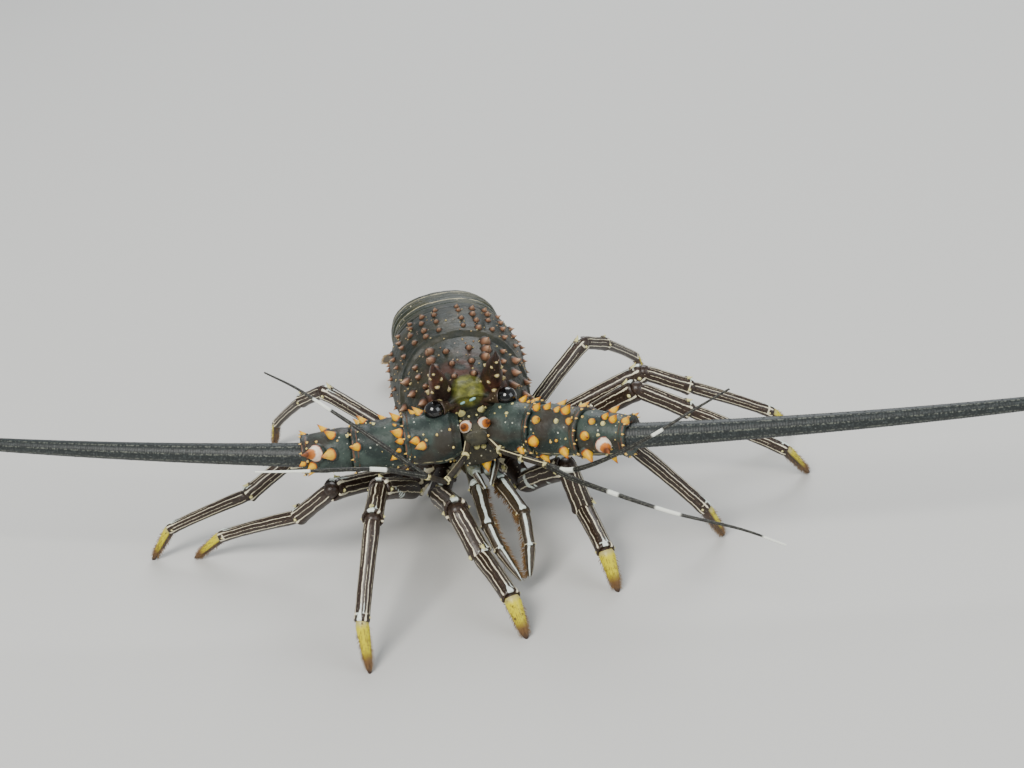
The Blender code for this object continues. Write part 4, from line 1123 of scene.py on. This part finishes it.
y = np.linspace(-61, -28, 50)
half_width, top, bottom = eased(y, EPISTOME_STATIONS, 2.0)
middle = (top + bottom) / 2
grid = upright_rings(y, middle, half_width, top - middle, 72, 3)
form = Form(roughened(grid, 0.45, 4.0, 5.0))
grow_spine(form, TOOTH_PLACE, heading(0, -35, LEFT), TOOTH_LENGTH, TOOTH_RADIUS, sides=20)
for x, y, z, size in NODULES:
    grow_spine(form, (x, y, z), heading(0, 5, LEFT), size * 1.3, size, tint=1.0)
for side in (LEFT, RIGHT):
    for x, y, z, size in EDGE_SPINES:
        grow_spine(form, (side * x, y, z), heading(20, -25, side), size, size / 2.2, tint=0.6)
form.make("mouth_frame", mouth_shell, "mouth", "epistome")
form = Form()
for side in (LEFT, RIGHT):
    route = smooth_route([(side * x, y, z) for x, y, z in JAW_POINTS], 8)
    form.add_skin(tube(route, lasting((3.6, 3.8, 2.2), 8), lasting((3.8, 4, 2.4), 8), 28, 2.3))
form.make("jaws", jaw_shell, "mouth")


# Mouth limbs. The third pair of maxillipeds hangs before the mouth like two short legs. They
# are jointed, marked with one bold blue-white stripe and thin yellowish lines, and fringed
# with brown bristles that hold food.

MOUTH_LIMB = {
    LEFT: ((4, -30, 38.5), (9, -52, 38), (15.5, -80, 34), (15, -90, 21), (12, -99, 9)),
    RIGHT: ((-4, -30, 38.5), (-3.6, -52, 37.5), (-3, -80, 30.5), (0, -92, 23), (7, -105, 12)),
}
MOUTH_LIMB_SIZES = (3.9, 4.5, 3.7, 3.0, 1.2)
LIMB_BROWN = (0.021, 0.011, 0.006)
LIMB_CREAM = (0.80, 0.74, 0.54)
BLUE_WHITE = (0.72, 0.80, 0.74)
# Lines along a joint: turn from its top, half width, first and last share, half width at the end
LEG_LINES = (
    (0.0, 0.024, 0.0, 1.0, 0.10), (0.14, 0.010, 0.06, 0.48, 0.01),
    (-0.13, 0.010, 0.46, 0.92, 0.03), (0.27, 0.018, 0.0, 0.97, 0.04),
    (-0.26, 0.018, 0.02, 1.0, 0.05), (0.43, 0.010, 0.10, 0.80, 0.01),
    (-0.44, 0.010, 0.15, 0.92, 0.02), (0.61, 0.020, 0.0, 1.0, 0.04),
    (-0.61, 0.020, 0.0, 1.0, 0.04), (0.99, 0.030, 0.0, 1.0, 0.05), (-0.99, 0.030, 0.0, 1.0, 0.05),
)
MOUTH_LINES = (
    (0.0, 0.070, 0.0, 1.0, 0.15), (0.40, 0.020, 0.02, 0.98, 0.05),
    (-0.40, 0.020, 0.02, 0.98, 0.05), (0.99, 0.05, 0.0, 1.0, 0.08), (-0.99, 0.05, 0.0, 1.0, 0.08),
)
# Shares that tell the finish of a knuckle and of a limb's short root joints from the long ones
KNUCKLE, ROOT_JOINT = 2.0, 3.0
# Bristles on each joint and their half thickness
MOUTH_BRISTLES, MOUTH_HAIR = 190, 0.16
SMALL_LIMB_GIRTHS = (1.6, 2.1, 1.8, 1.0)


def striped_finish(name, ground, side_line, top_line, top_from, lines):
    """Smooth dark limb shell with pale lines from joint to joint and an arc at each far rim.

    The line on top takes its own colour from the share top_from on.
    """
    finish = Finish(name)
    turn, share = turned_place(finish)
    broad, fine = finish.cloud(150, 2.0), finish.cloud(900)
    turn = finish.reckon("ADD", turn, finish.wavering(broad, 0.10))
    ragged = finish.wavering(fine, 0.03)
    off_top = finish.reckon("ABSOLUTE", turn)
    masks = 0.0
    for at, half, first, last, far_half in lines:
        stops = [(first + 0.02, half), (last - 0.12, half), (min(last, 0.98), far_half)]
        if first > 0:
            stops.insert(0, (first, 0.0))
        if last < 1:
            stops.append((last + 0.02, 0.0))
        size = finish.ramp(share, *stops)
        gap = finish.reckon("ABSOLUTE", finish.reckon("SUBTRACT", turn, at))
        over = finish.reckon("ADD", finish.reckon("SUBTRACT", size, gap), ragged)
        masks = finish.reckon("MAXIMUM", masks, finish.rise(over, -0.004, 0.012))
    arc = finish.times(
        banded(finish, share, ((0.925, 0.945),), 0.006), finish.rise(off_top, 0.66, 0.60),
        finish.patches(0.50, 0.56, 150),
    )
    masks = finish.times(finish.reckon("MAXIMUM", masks, arc), finish.rise(share, 1.5, 1.4))
    blotch = finish.times(finish.patches(0.56, 0.60, 120, 2.0), finish.rise(share, 2.5, 2.6))
    masks = finish.reckon("MAXIMUM", masks, blotch)
    lighter = tuple(2.2 * c + 0.006 for c in ground)
    dark = finish.blend(finish.rise(fine, 0.45, 0.72), ground, lighter)
    dark = finish.blend(finish.times(finish.specks(2.4, 0.35, 0.2), 0.5), dark, side_line)
    on_top = finish.times(
        finish.rise(off_top, 0.20, 0.15), finish.rise(share, top_from, top_from + 0.06)
    )
    pale = finish.blend(on_top, side_line, top_line)
    worn = finish.times(finish.patches(0.5, 0.72, 420), 0.35)
    pale = finish.blend(worn, pale, tuple(0.6 * c for c in side_line))
    spine, on_spine = growth_colours(finish)
    colour = finish.blend(on_spine, finish.blend(masks, dark, pale), spine)
    relief = {"Normal": finish.bump(0.35, 0.0003, finish.cloud(620, 4.0))}
    finish.wear(colour, finish.reckon("ADD", finish.times(fine, 0.2), 0.28), relief)
    return finish


# How thick one joint of a limb is at shares of its length
PODOMERE_RUN = (-0.03, 0.0, 0.03, 0.08, 0.16, 0.5, 0.82, 0.91, 0.95, 0.985, 1.0, 1.0, 0.97)
PODOMERE_SIZE = (0.60, 0.78, 0.88, 0.94, 0.97, 0.945, 0.98, 1.02, 1.07, 1.07, 0.99, 0.86, 0.6)
CLAW_RUN = (-0.10, -0.05, 0.03, 0.12, 0.7, 0.93, 1.0)
CLAW_SIZE = (0.5, 0.8, 0.96, 1.0, 0.66, 0.36, 0.16)


def podomere(form, start, end, near, far, bow=0.0, squash=1.0, first_share=0.0):
    """One joint of a limb: a narrow neck, a long barrel and a flared, rolled far rim."""
    run = lasting(PODOMERE_RUN, 4)
    share = np.clip(run, 0, 1)
    shape = softened(lasting(PODOMERE_SIZE, 4), (0.25, 0.5, 0.25))
    size = (near + (far - near) * share) * shape
    grid = limb_rings(start, end, run, size, 32, squash, bow, 2.1)
    form.add_skin(roughened(grid, 0.14, 4.0, near), share=first_share + share)
    _, across, _ = joint_axes(start, end)
    for side in (LEFT, RIGHT):
        knob = start + (end - start) * 0.955 + across * (side * far * squash * 1.02)
        grow_spine(form, knob, across * side, 0.22 * far, 0.22 * far, tint=1.0, sides=8)
    return grid


def joint_ball(form, centre, size, way):
    """The smooth knuckle that fills the gap between two joints of a limb."""
    way = unit(way)
    across = unit(np.cross(way, (0.1, 0.2, 0.97)))
    ball = ball_rings(centre, way, across, np.cross(across, way), size, 0.05, 12, 20)
    form.add_skin(ball, share=np.full(len(ball), KNUCKLE))


def claw_tip(form, start, end, near):
    """The last joint: a slender, slightly hooked point."""
    run = np.linspace(-0.10, 1, 36)
    girth = near * np.interp(run, CLAW_RUN, CLAW_SIZE)
    grid = limb_rings(start, end, run, girth, 26, squash=0.95)
    form.add_skin(grid, share=np.clip(run, 0, 1) * 0.9)
    return grid


def make_bristles(name, hairs, radius, finish, slot):
    """Makes thin three-sided hairs, each closed and of seven points, as one piece.

    A hair is its root, way, length and place on an unwrap of the skin that it grows from, and
    takes a small patch of the map there.
    """
    form = Form()
    roots, ways, lengths, places = (np.array(column, float) for column in zip(*hairs))
    ways /= np.linalg.norm(ways, axis=1, keepdims=True)
    count = len(roots)
    across = np.cross(ways, (0.3, 0.2, 0.93))
    across /= np.linalg.norm(across, axis=1, keepdims=True)
    other = np.cross(ways, across)
    lengths = lengths[:, None]
    points = []
    for share, size in ((-0.1, 1.0), (0.55, 0.7)):
        for corner in range(3):
            a = corner * 2 * math.pi / 3
            aside = (across * math.cos(a) + other * math.sin(a)) * radius * size
            points.append(roots + ways * lengths * share + aside)
    points.append(roots + ways * lengths)
    base = np.arange(count)[:, None, None] * 7
    quads = base + np.array([(0, 3, 4, 1), (1, 4, 5, 2), (2, 5, 3, 0)])[None]
    tris = base + np.array([(3, 6, 4), (4, 6, 5), (5, 6, 3), (0, 1, 2)])[None]
    form.points.append(np.stack(points, 1).reshape(-1, 3))
    shares = np.broadcast_to((0, 0, 0, 0.55, 0.55, 0.55, 1.0), (count, 7))
    place = np.stack((np.ones((count, 7)), np.zeros((count, 7)), shares), -1)
    form.place.append(place.reshape(-1, 3))
    form.growth.append(np.full((count * 7, 3), -1.0))
    patch = 0.0015
    places = np.clip(places, patch, 1 - patch)[:, None, None]
    quad = places + np.array(((-1, -1), (-1, 1), (1, 1), (1, -1)))[None, None] * patch
    tri = places + np.array(((-1, -1), (0, 1), (1, -1)))[None, None] * patch
    form.note_faces(quads, np.broadcast_to(quad, (count, 3, 4, 2)), -1)
    form.note_faces(tris, np.broadcast_to(tri, (count, 4, 3, 2)), -1)
    form.make(name, finish, slot)


def bristle_finish(name, root, tip):
    """Stiff hair, darker at the root."""
    finish = Finish(name)
    scale = finish.ramp(finish.marks("place")[2], (0.0, root), (1.0, tip))
    finish.wear(finish.blend(finish.cloud(300, 2.0), scale, tip), 0.55)
    return finish


limb_bristle = bristle_finish("limb_bristle", (0.085, 0.040, 0.014), (0.26, 0.15, 0.055))
mouth_limb_shell = striped_finish(
    "mouth_limb_shell", (0.030, 0.020, 0.010), LIMB_CREAM, (0.66, 0.76, 0.71), -0.2, MOUTH_LINES
)
for side, side_name in SIDES:
    joints = [np.array(point, float) for point in MOUTH_LIMB[side]]
    form, hairs = Form(), []
    chance = random.Random(60 + side)
    for number, (start, end) in enumerate(zip(joints, joints[1:])):
        near, far = MOUTH_LIMB_SIZES[number:number + 2]
        last = number == len(joints) - 2
        if last:
            grid = claw_tip(form, start, end, near)
        else:
            grid = podomere(form, start, end, near * 1.03, far * 1.03, squash=0.9)
            joint_ball(form, end, far * 0.84, end - start)
        normals = outward(grid)
        rows, columns = grid.shape[:2]
        inner = columns // 2 - side * columns // 5
        for _ in range(MOUTH_BRISTLES if number else 0):
            row = chance.randrange(5, rows - (3 if last else 16))
            column = int(chance.gauss(inner, columns / 14)) % columns
            way = normals[row, column] * 0.8 + unit(end - start) * 0.6
            way = way + np.array([chance.uniform(-0.25, 0.25) for _ in range(3)])
            length = chance.uniform(1.5, 3.6)
            hairs.append((grid[row, column], way, length, (column / columns, row / rows)))
    form.make("mouth_limb_shell_" + side_name, mouth_limb_shell, "mouth", "mouth_limb_" + side_name)
    make_bristles("mouth_limb_bristles_" + side_name, hairs, MOUTH_HAIR, limb_bristle, "mouth")

form = Form()
mouth_limb_shell.lay(BLUE_WHITE, mouth_limb_shell.near((-5.8, -50.2, 41.4), 2.3, 0.3))
for points in SMALL_MOUTH_LIMBS:
    route, girths = smooth_route(points, 9), lasting(SMALL_LIMB_GIRTHS, 9)
    form.add_skin(tube(route, girths, girths, 20))
form.make("small_mouth_limbs", mouth_limb_shell, "mouth")


# Chest plate. The flat shield between the leg roots is fused from one bar for each pair of
# legs, so it is grooved across, and it is paler than the back.

# Half width of the plate at each y
CHEST_STATIONS = np.array(((-24, 6), (-20, 9), (10, 13), (38, 17), (45, 14)))
CHEST_Z, CHEST_MIDDLE_Z, CHEST_TOP_Z = 30, 36.5, 43.5

chest_shell = shell_finish(
    "chest_shell", (0.040, 0.030, 0.016), (0.10, 0.075, 0.036), (0.56, 0.50, 0.34), 0.6
)
y = np.linspace(-24, 45, 90)
half_width, = eased(y, CHEST_STATIONS, 2.0)
bars = 0.9 * hump((y + 6) % 12 - 6, 1.3)
tall = np.full_like(y, CHEST_TOP_Z - CHEST_MIDDLE_Z)
deep = CHEST_MIDDLE_Z - CHEST_Z - bars
grid = upright_rings(y, CHEST_MIDDLE_Z, half_width - bars * 0.6, tall, 56, 4, deep)
form = Form(roughened(grid, 0.25, 4.0, 8.0))
form.make("chest_plate", chest_shell, "underside", "sternum")


# Legs. Each of the ten walking legs is a chain of hard tubes hinged end to end: a short hip, a
# long thigh, a short shin, a long foot and a bristly claw. Cream lines run along every tube
# and widen into an arc at its far rim, over which a small spine leans.

# Each leg pair's root, the lengths of its hip, thigh, shin, foot and claw, and the half
# thickness of its thigh and foot
LEG_ROOTS = ((15, -12, 36), (18, 0, 35), (20, 12, 34), (22, 24, 34.5), (22, 36, 36))
LEG_LENGTHS = (
    (22, 50, 25, 36, 20),
    (25, 62, 29, 50, 24),
    (26, 66, 31, 56, 24),
    (25, 60, 28, 52, 23),
    (23, 48, 25, 42, 20),
)
LEG_THICKNESS = ((6.4, 5.2), (5.9, 4.2), (5.7, 3.9), (5.4, 3.7), (4.8, 3.3))
# Turn outwards and rise of hip, thigh, shin and claw in degrees, and the turn of the foot
LEG_POSES = {
    LEFT: (
        ((27, -39), (26.3, 30.5), (70, -77), (10, -58), 5.5),
        ((49, -4), (24.7, 38.1), (40, -25), (125, -62), 75),
        ((75, -14), (54, 33.1), (79, -31), (112, -54), 76),
        ((75, -4), (77.7, 23.7), (84, -28), (112, -50), 92),
        ((117, -13), (122.3, 27.9), (136, -26), (142, -64), 140),
    ),
    RIGHT: (
        ((25, -27), (-7.6, 18), (-27.6, -50), (-16, -55), -15),
        ((53, -26), (18.6, 30.2), (10, 0), (4, -62), 22),
        ((71, -22), (34.1, 23.5), (124, -37), (112, -36), 122),
        ((76, -12), (69.6, 19.5), (82, -28), (100, -52), 106),
        ((119, -14), (125.4, 28.5), (140, -26), (146, -64), 144),
    ),
}
CLAW_YELLOW = (0.62, 0.54, 0.002)
# Bluish white patches on the front legs' hips and thighs: place and reach
HIP_PATCHES = (
    (22.0, -37.2, 31.1, 1.5), (22.7, -39.0, 29.3, 1.7), (23.2, -40.4, 27.7, 2.0),
    (24.6, -42.2, 26.4, 1.7), (26.6, -45.2, 29.2, 1.1), (32.7, -55.6, 34.8, 1.2),
    (32.4, -55.0, 36.4, 1.1), (-29.5, -29.7, 26.6, 1.7), (-30.1, -30.9, 24.2, 1.9),
    (-34.1, -17.0, 19.6, 1.9), (-44.5, -55.6, 49.5, 0.8), (-43.8, -52.6, 46.2, 0.9),
    (-43.1, -49.6, 43.0, 1.2), (-42.7, -46.4, 40.2, 1.6), (-42.2, -42.6, 37.2, 1.9),
)
CLAW_BRISTLES, CLAW_HAIR = 420, 0.12


def leg_joints(side, number):
    """Root, hip end, knee, wrist, ankle and tip of a leg. The tip meets the floor."""
    x, y, z = LEG_ROOTS[number]
    hip, thigh, shin, foot, toe_length = LEG_LENGTHS[number]
    hip_way, thigh_way, shin_way, toe_way, foot_turn = LEG_POSES[side][number]
    joints = [np.array((side * x, y, z), float)]
    for length, way in ((hip, hip_way), (thigh, thigh_way), (shin, shin_way)):
        joints.append(joints[-1] + heading(*way, side) * length)
    toe = heading(*toe_way, side) * toe_length
    slope = -math.degrees(math.asin((joints[-1][2] + toe[2]) / foot))
    joints.append(joints[-1] + heading(foot_turn, slope, side) * foot)
    joints.append(joints[-1] + toe)
    return joints


def rim_spine(form, start, end, share, radius, length):
    """The spine on top of a limb joint's far end."""
    way, _, lift = joint_axes(start, end)
    root = start + (end - start) * share + lift * (radius * 0.94)
    grow_spine(form, root, lift * 0.5 + way * 0.86, length, length / 2.6, bend=lift * 0.1, tint=1.0)


leg_shell = striped_finish("leg_shell", LIMB_BROWN, LIMB_CREAM, BLUE_WHITE, 0.80, LEG_LINES)
patches = 0.0
for x, y, z, reach in HIP_PATCHES:
    patches = leg_shell.reckon("MAXIMUM", patches, leg_shell.near((x, y, z), reach, 0.3))
leg_shell.lay(BLUE_WHITE, patches)
claw_shell = Finish("claw_shell")
turn, share = turned_place(claw_shell)
claw_tone = claw_shell.ramp(
    share, (0.0, (0.46, 0.40, 0.14)), (0.10, CLAW_YELLOW), (0.46, CLAW_YELLOW),
    (0.66, (0.16, 0.075, 0.020)), (0.88, (0.030, 0.016, 0.010)),
)
under = claw_shell.rise(claw_shell.reckon("ABSOLUTE", turn), 0.50, 0.62)
under = claw_shell.reckon("MAXIMUM", under, claw_shell.patches(0.60, 0.72, 420))
claw_shell.wear(claw_shell.blend(under, claw_tone, (0.045, 0.024, 0.012)), 0.4)

for side, side_name in SIDES:
    for number, (thigh_size, foot_size) in enumerate(LEG_THICKNESS):
        root, hip, knee, wrist, ankle, tip = leg_joints(side, number)
        shin_size = (thigh_size + foot_size) / 2
        name = f"leg_{side_name}_{number + 1}"
        inner = root + np.array((-side * 4, 0, 0))
        neck = root + (hip - root) * 0.36
        form = Form()
        podomere(form, inner, neck, thigh_size, thigh_size * 1.04, first_share=ROOT_JOINT)
        joint_ball(form, neck, thigh_size * 0.86, hip - root)
        podomere(form, neck, hip, thigh_size * 0.92, thigh_size * 0.92, first_share=ROOT_JOINT)
        joint_ball(form, hip, thigh_size * 0.76, knee - hip)
        podomere(form, hip, knee, thigh_size * 0.98, thigh_size, bow=0.7, squash=0.93)
        joint_ball(form, knee, thigh_size * 0.76, knee - hip)
        rim_spine(form, hip, knee, 0.93, thigh_size, 4.0)
        rim_spine(form, root, hip, 0.9, thigh_size * 0.9, 2.6)
        form.make(name + "_thigh", leg_shell, "leg", name + "_upper")

        form = Form()
        podomere(form, knee, wrist, shin_size * 0.98, shin_size)
        joint_ball(form, wrist, shin_size * 0.76, wrist - knee)
        podomere(form, wrist, ankle, foot_size * 1.02, foot_size * 0.85, bow=0.5)
        joint_ball(form, ankle, foot_size * 0.66, ankle - wrist)
        rim_spine(form, knee, wrist, 0.86, shin_size, 3.2)
        form.make(name + "_foot", leg_shell, "leg", name + "_lower")
        form = Form()
        way_down = unit(tip - ankle)
        grid = claw_tip(form, ankle, tip + way_down * 0.6, foot_size * 0.82)
        form.make(name + "_claw", claw_shell, "leg")

        hairs = []
        chance = random.Random(100 + 10 * number + side)
        normals = outward(grid)
        rows, columns = grid.shape[:2]
        for _ in range(CLAW_BRISTLES):
            row = int(chance.triangular(4, rows - 4, rows - 6))
            column = chance.randrange(columns)
            way = normals[row, column] * 0.75 + way_down * 0.75
            length = chance.uniform(0.9, 2.3)
            hairs.append((grid[row, column], way, length, (column / columns, row / rows)))
        make_bristles(name + "_bristles", hairs, CLAW_HAIR, limb_bristle, "leg")


# Abdomen. Six overlapping rings of shell, hinged at their sides, curve down to the tail. Each
# has a groove across it, a pointed flap at either side, and swimmerets hang under the middle
# four. It is dark with small pale spots and a pale line along each rear rim.

# Each ring's length, half width, height over its middle and slope in degrees
ABDOMEN_SEGMENTS = (
    (17, 31, 22, 6),
    (23, 31.5, 21.5, 11),
    (23, 30.5, 20.5, 17),
    (23, 29, 19.5, 22),
    (23, 27, 18, 26),
    (21, 24, 15, 29),
)
ABDOMEN_START = np.array((0, 48.5, 77))
RING_RUN = (-0.12, 0.10, 0.16, 0.22, 0.72, 0.97, 1.0)
RING_SIZE = (0.86, 0.945, 0.955, 0.99, 1.0, 0.985, 0.955)
# The share that tells the finish of a side flap from a ring
FLAP = 3.0
RING_COLUMNS, FLAP_COLUMNS = 150, 30
FLAP_BRISTLES, SWIMMERET_BRISTLES, TAIL_HAIR = 60, 150, 0.11
# Columns that carry the bristles: a flap's lower edge and a swimmeret's two edges
FLAP_EDGE, SWIMMERET_EDGES = (14, 15, 16), (7, 8, 22, 23)
SWIMMERET_RINGS = (2, 3, 4, 5)

tail_shell = shell_finish(
    "tail_shell", (0.012, 0.018, 0.010), (0.040, 0.040, 0.018), (0.60, 0.55, 0.36), 0.45
)
turn, share = turned_place(tail_shell)
away = tail_shell.reckon("ABSOLUTE", turn)
rear_line = banded(tail_shell, share, ((0.905, 0.935),), 0.008)
tail_shell.lay((0.56, 0.50, 0.30), rear_line, tail_shell.rise(away, 0.62, 0.5))
on_ring = tail_shell.rise(share, 2.0, 1.5)
tail_shell.lay((0.20, 0.17, 0.10), tail_shell.rise(away, 0.60, 0.70), on_ring)
from_side = tail_shell.reckon("ABSOLUTE", tail_shell.reckon("SUBTRACT", away, 0.5))
flap_edge = tail_shell.reckon("SUBTRACT", tail_shell.rise(from_side, 0.38, 0.43), on_ring)
tail_shell.lay((0.50, 0.44, 0.26), flap_edge)
flap_shell = striped_finish(
    "flap_shell", (0.030, 0.028, 0.014), LIMB_CREAM, LIMB_CREAM, 0, MOUTH_LINES
)
tail_bristle = bristle_finish("tail_bristle", (0.12, 0.08, 0.03), (0.42, 0.30, 0.15))

start = ABDOMEN_START.copy()
sideways = np.array((1.0, 0, 0))
run = np.linspace(-0.12, 1.0, 64)
shape = softened(np.interp(run, RING_RUN, RING_SIZE))
cut = shape - (0.026 * hump(run - 0.46, 0.035) + 0.018 * hump(run - 0.90, 0.02))
for number, (length, wide, tall, slope) in enumerate(ABDOMEN_SEGMENTS, 1):
    way = heading(180, -slope, LEFT)
    lift = np.cross(sideways, way)
    centres = start + way * (run * length)[:, None]
    sizes = wide * cut, tall * cut, RING_COLUMNS, 2.3, tall * shape * 0.72
    grid = roughened(rounded_rings(centres, sideways, lift, *sizes), 0.22, 5.0, 3.0 * number)
    ring = np.concatenate((grid, rolled(grid, 0.10, 0.6, -1)))
    form, fins, hairs = Form(ring, np.r_[np.clip(run, 0, 1), np.ones(4)]), Form(), []
    chance = random.Random(300 + number)
    for side in (LEFT, RIGHT):
        outwards = np.array((side, 0, 0))
        hinge = start + way * (length * 0.42) + outwards * (wide * 0.87) - lift * (tall * 0.1)
        tip = hinge + way * (length * 0.46) - outwards * (wide * 0.06) - lift * (tall * 0.95)
        drop = tip - hinge
        route = smooth_route((hinge, hinge + drop * 0.45, hinge + drop * 0.8, tip), 8)
        broad = length * lasting((0.40, 0.37, 0.20, 0.03), 8)
        flap = tube(route, lasting((2.6, 2.1, 1.4, 0.4), 8), broad, FLAP_COLUMNS, 2.4)
        form.add_skin(roughened(flap, 0.15, 3.0, number), share=np.full(len(flap), FLAP))
        if number in SWIMMERET_RINGS:
            root = start + way * (length * 0.45) + outwards * (wide * 0.45) - lift * (tall * 0.6)
            end = root + way * (length * 0.55) - lift * (tall * 0.6) + outwards * 1.5
            reach = end - root
            route = smooth_route((root, root + reach * 0.5, root + reach * 0.85, end), 8)
            broad, thick = lasting((2.4, 6.2, 5.4, 1.4), 8), lasting((1.3, 1.0, 0.7, 0.4), 8)
            fin = tube(route, broad, thick, FLAP_COLUMNS)
            fins.add_skin(fin)
            normals = outward(fin)
            for _ in range(SWIMMERET_BRISTLES):
                row = chance.randrange(10, len(fin) - 1)
                column = chance.choice(SWIMMERET_EDGES)
                lean = normals[row, column] + way * 0.7 - lift * 0.5
                place = column / FLAP_COLUMNS, row / len(fin)
                hairs.append((fin[row, column], lean, chance.uniform(1.6, 3.2), place))
        normals = outward(flap)
        for _ in range(FLAP_BRISTLES):
            row = chance.randrange(8, len(flap) - 2)
            column = chance.choice(FLAP_EDGE)
            lean = normals[row, column] + way * 0.4 - lift * 0.3
            place = column / FLAP_COLUMNS, row / len(flap)
            hairs.append((flap[row, column], lean, chance.uniform(1.0, 2.2), place))
    form.make(f"tail_ring_{number}", tail_shell, "abdomen", f"abdomen_{number}")
    if fins.count:
        fins.make(f"swimmerets_{number}", flap_shell, "abdomen")
    make_bristles(f"tail_ring_bristles_{number}", hairs, TAIL_HAIR, tail_bristle, "abdomen")
    start = start + way * length


# Tail fan. A middle blade and two pairs of side blades spread behind the last ring. Each is
# limy at its root and horny and ribbed beyond, dark with pale spots, and edged with bristles.

# Each blade's name, side, turn outwards in degrees, drop, length and half width
FAN_BLADES = (
    ("telson", 0, 0, 0, 50, 12.5),
    ("uropod_left_inner", LEFT, 20, 3.8, 50, 12),
    ("uropod_left_outer", LEFT, 43, 8.0, 47, 13),
    ("uropod_right_inner", RIGHT, 20, 3.8, 50, 12),
    ("uropod_right_outer", RIGHT, 43, 8.0, 47, 13),
)
FAN_ROOT_SHIFT = np.array((0, -4, 1))
FAN_SLOPE = 27
FAN_THICKNESS = 1.7
FAN_SWEEP = 6
FAN_RIBS = 13
FAN_COLUMNS = 120
# Rows along a blade: up to its narrowing end, and closer together round that end
FAN_ROWS = (52, 12)
FAN_DOTS, FAN_BRISTLES, FAN_HAIR = 46, 620, 0.12
# Columns of a blade's two side edges
FAN_EDGES = FAN_COLUMNS // 4, 3 * FAN_COLUMNS // 4

fan_shell = shell_finish(
    "fan_shell", (0.022, 0.024, 0.012), (0.075, 0.066, 0.028), (0.55, 0.50, 0.32), 0.55
)
share = turned_place(fan_shell)[1]
horny_tone = fan_shell.blend(fan_shell.cloud(160), (0.022, 0.020, 0.010), (0.085, 0.058, 0.024))
fan_shell.lay(horny_tone, fan_shell.rise(share, 0.36, 0.44))
fan_shell.lay((0.30, 0.22, 0.10), fan_shell.rise(share, 0.93, 0.985))

shares = np.r_[np.linspace(0, 0.9, FAN_ROWS[0]), np.linspace(0.91, 1.0, FAN_ROWS[1])]
around = np.linspace(0, 2 * np.pi, FAN_COLUMNS, endpoint=False)
sideways, face = np.sin(around), np.cos(around)
face = np.sign(face) * np.abs(face) ** 0.35
ribs = 0.20 * np.abs(np.sin(sideways * FAN_RIBS * np.pi / 2)) ** 0.6
down = shares[:, None]
thickness = FAN_THICKNESS * (1 - 0.3 * down) * (0.42 + ribs[None] * np.clip((down - 0.3) * 4, 0, 1))
thickness += 0.5 * hump(down, 0.3) + 0.25 * hump(down - 0.38, 0.03)
height = 1.2 * (1 - sideways**2)[None] + FAN_SWEEP * down**2 + face[None] * thickness * 0.6
narrowing = np.sqrt(np.maximum(0, 1 - np.maximum(0, (shares - 0.72) / 0.285) ** 2))
for name, side, turn, drop, length, half in FAN_BLADES:
    root = start + FAN_ROOT_SHIFT + np.array((side * 6, 0, -drop))
    way = heading(180 - side * turn, -FAN_SLOPE, LEFT)
    across = unit(np.cross(way, (0, 0, 1.0)))
    lift = np.cross(across, way)
    width = half * np.minimum(1, 0.42 + 1.1 * shares) * narrowing
    reach = length * down * (1 - 0.05 * sideways[None] ** 2)
    grid = root + way * reach[..., None] + lift * height[..., None]
    grid = grid + across * (sideways[None] * width[:, None])[..., None]
    form = Form(grid, shares)
    chance = random.Random(500 + turn + side)
    for _ in range(FAN_DOTS):
        row, column = chance.randrange(4, 24), chance.randrange(-22, 22) % FAN_COLUMNS
        size = chance.uniform(0.6, 1.3)
        dot_way = lift * 0.5 + way * 0.85
        grow_spine(form, grid[row, column], dot_way, size, size * 0.4, tint=1.0, sides=6)
    form.make("fan_" + name, fan_shell, "fan", name)
    hairs = []
    for _ in range(FAN_BRISTLES):
        row = min(len(shares) - 1, int(chance.triangular(18, len(shares) + 14, len(shares))))
        column = chance.choice(FAN_EDGES) + chance.randrange(-2, 3)
        if row > 50:
            column = chance.randrange(FAN_COLUMNS)
        spread = sideways[column] * 0.8 * (1 if row < 55 else 0.5)
        lean = way + across * spread + lift * 0.05
        place = column / FAN_COLUMNS, shares[row]
        hairs.append((grid[row, column], lean, chance.uniform(1.4, 2.8), place))
    make_bristles("fan_fringe_" + name, hairs, FAN_HAIR, tail_bristle, "fan")
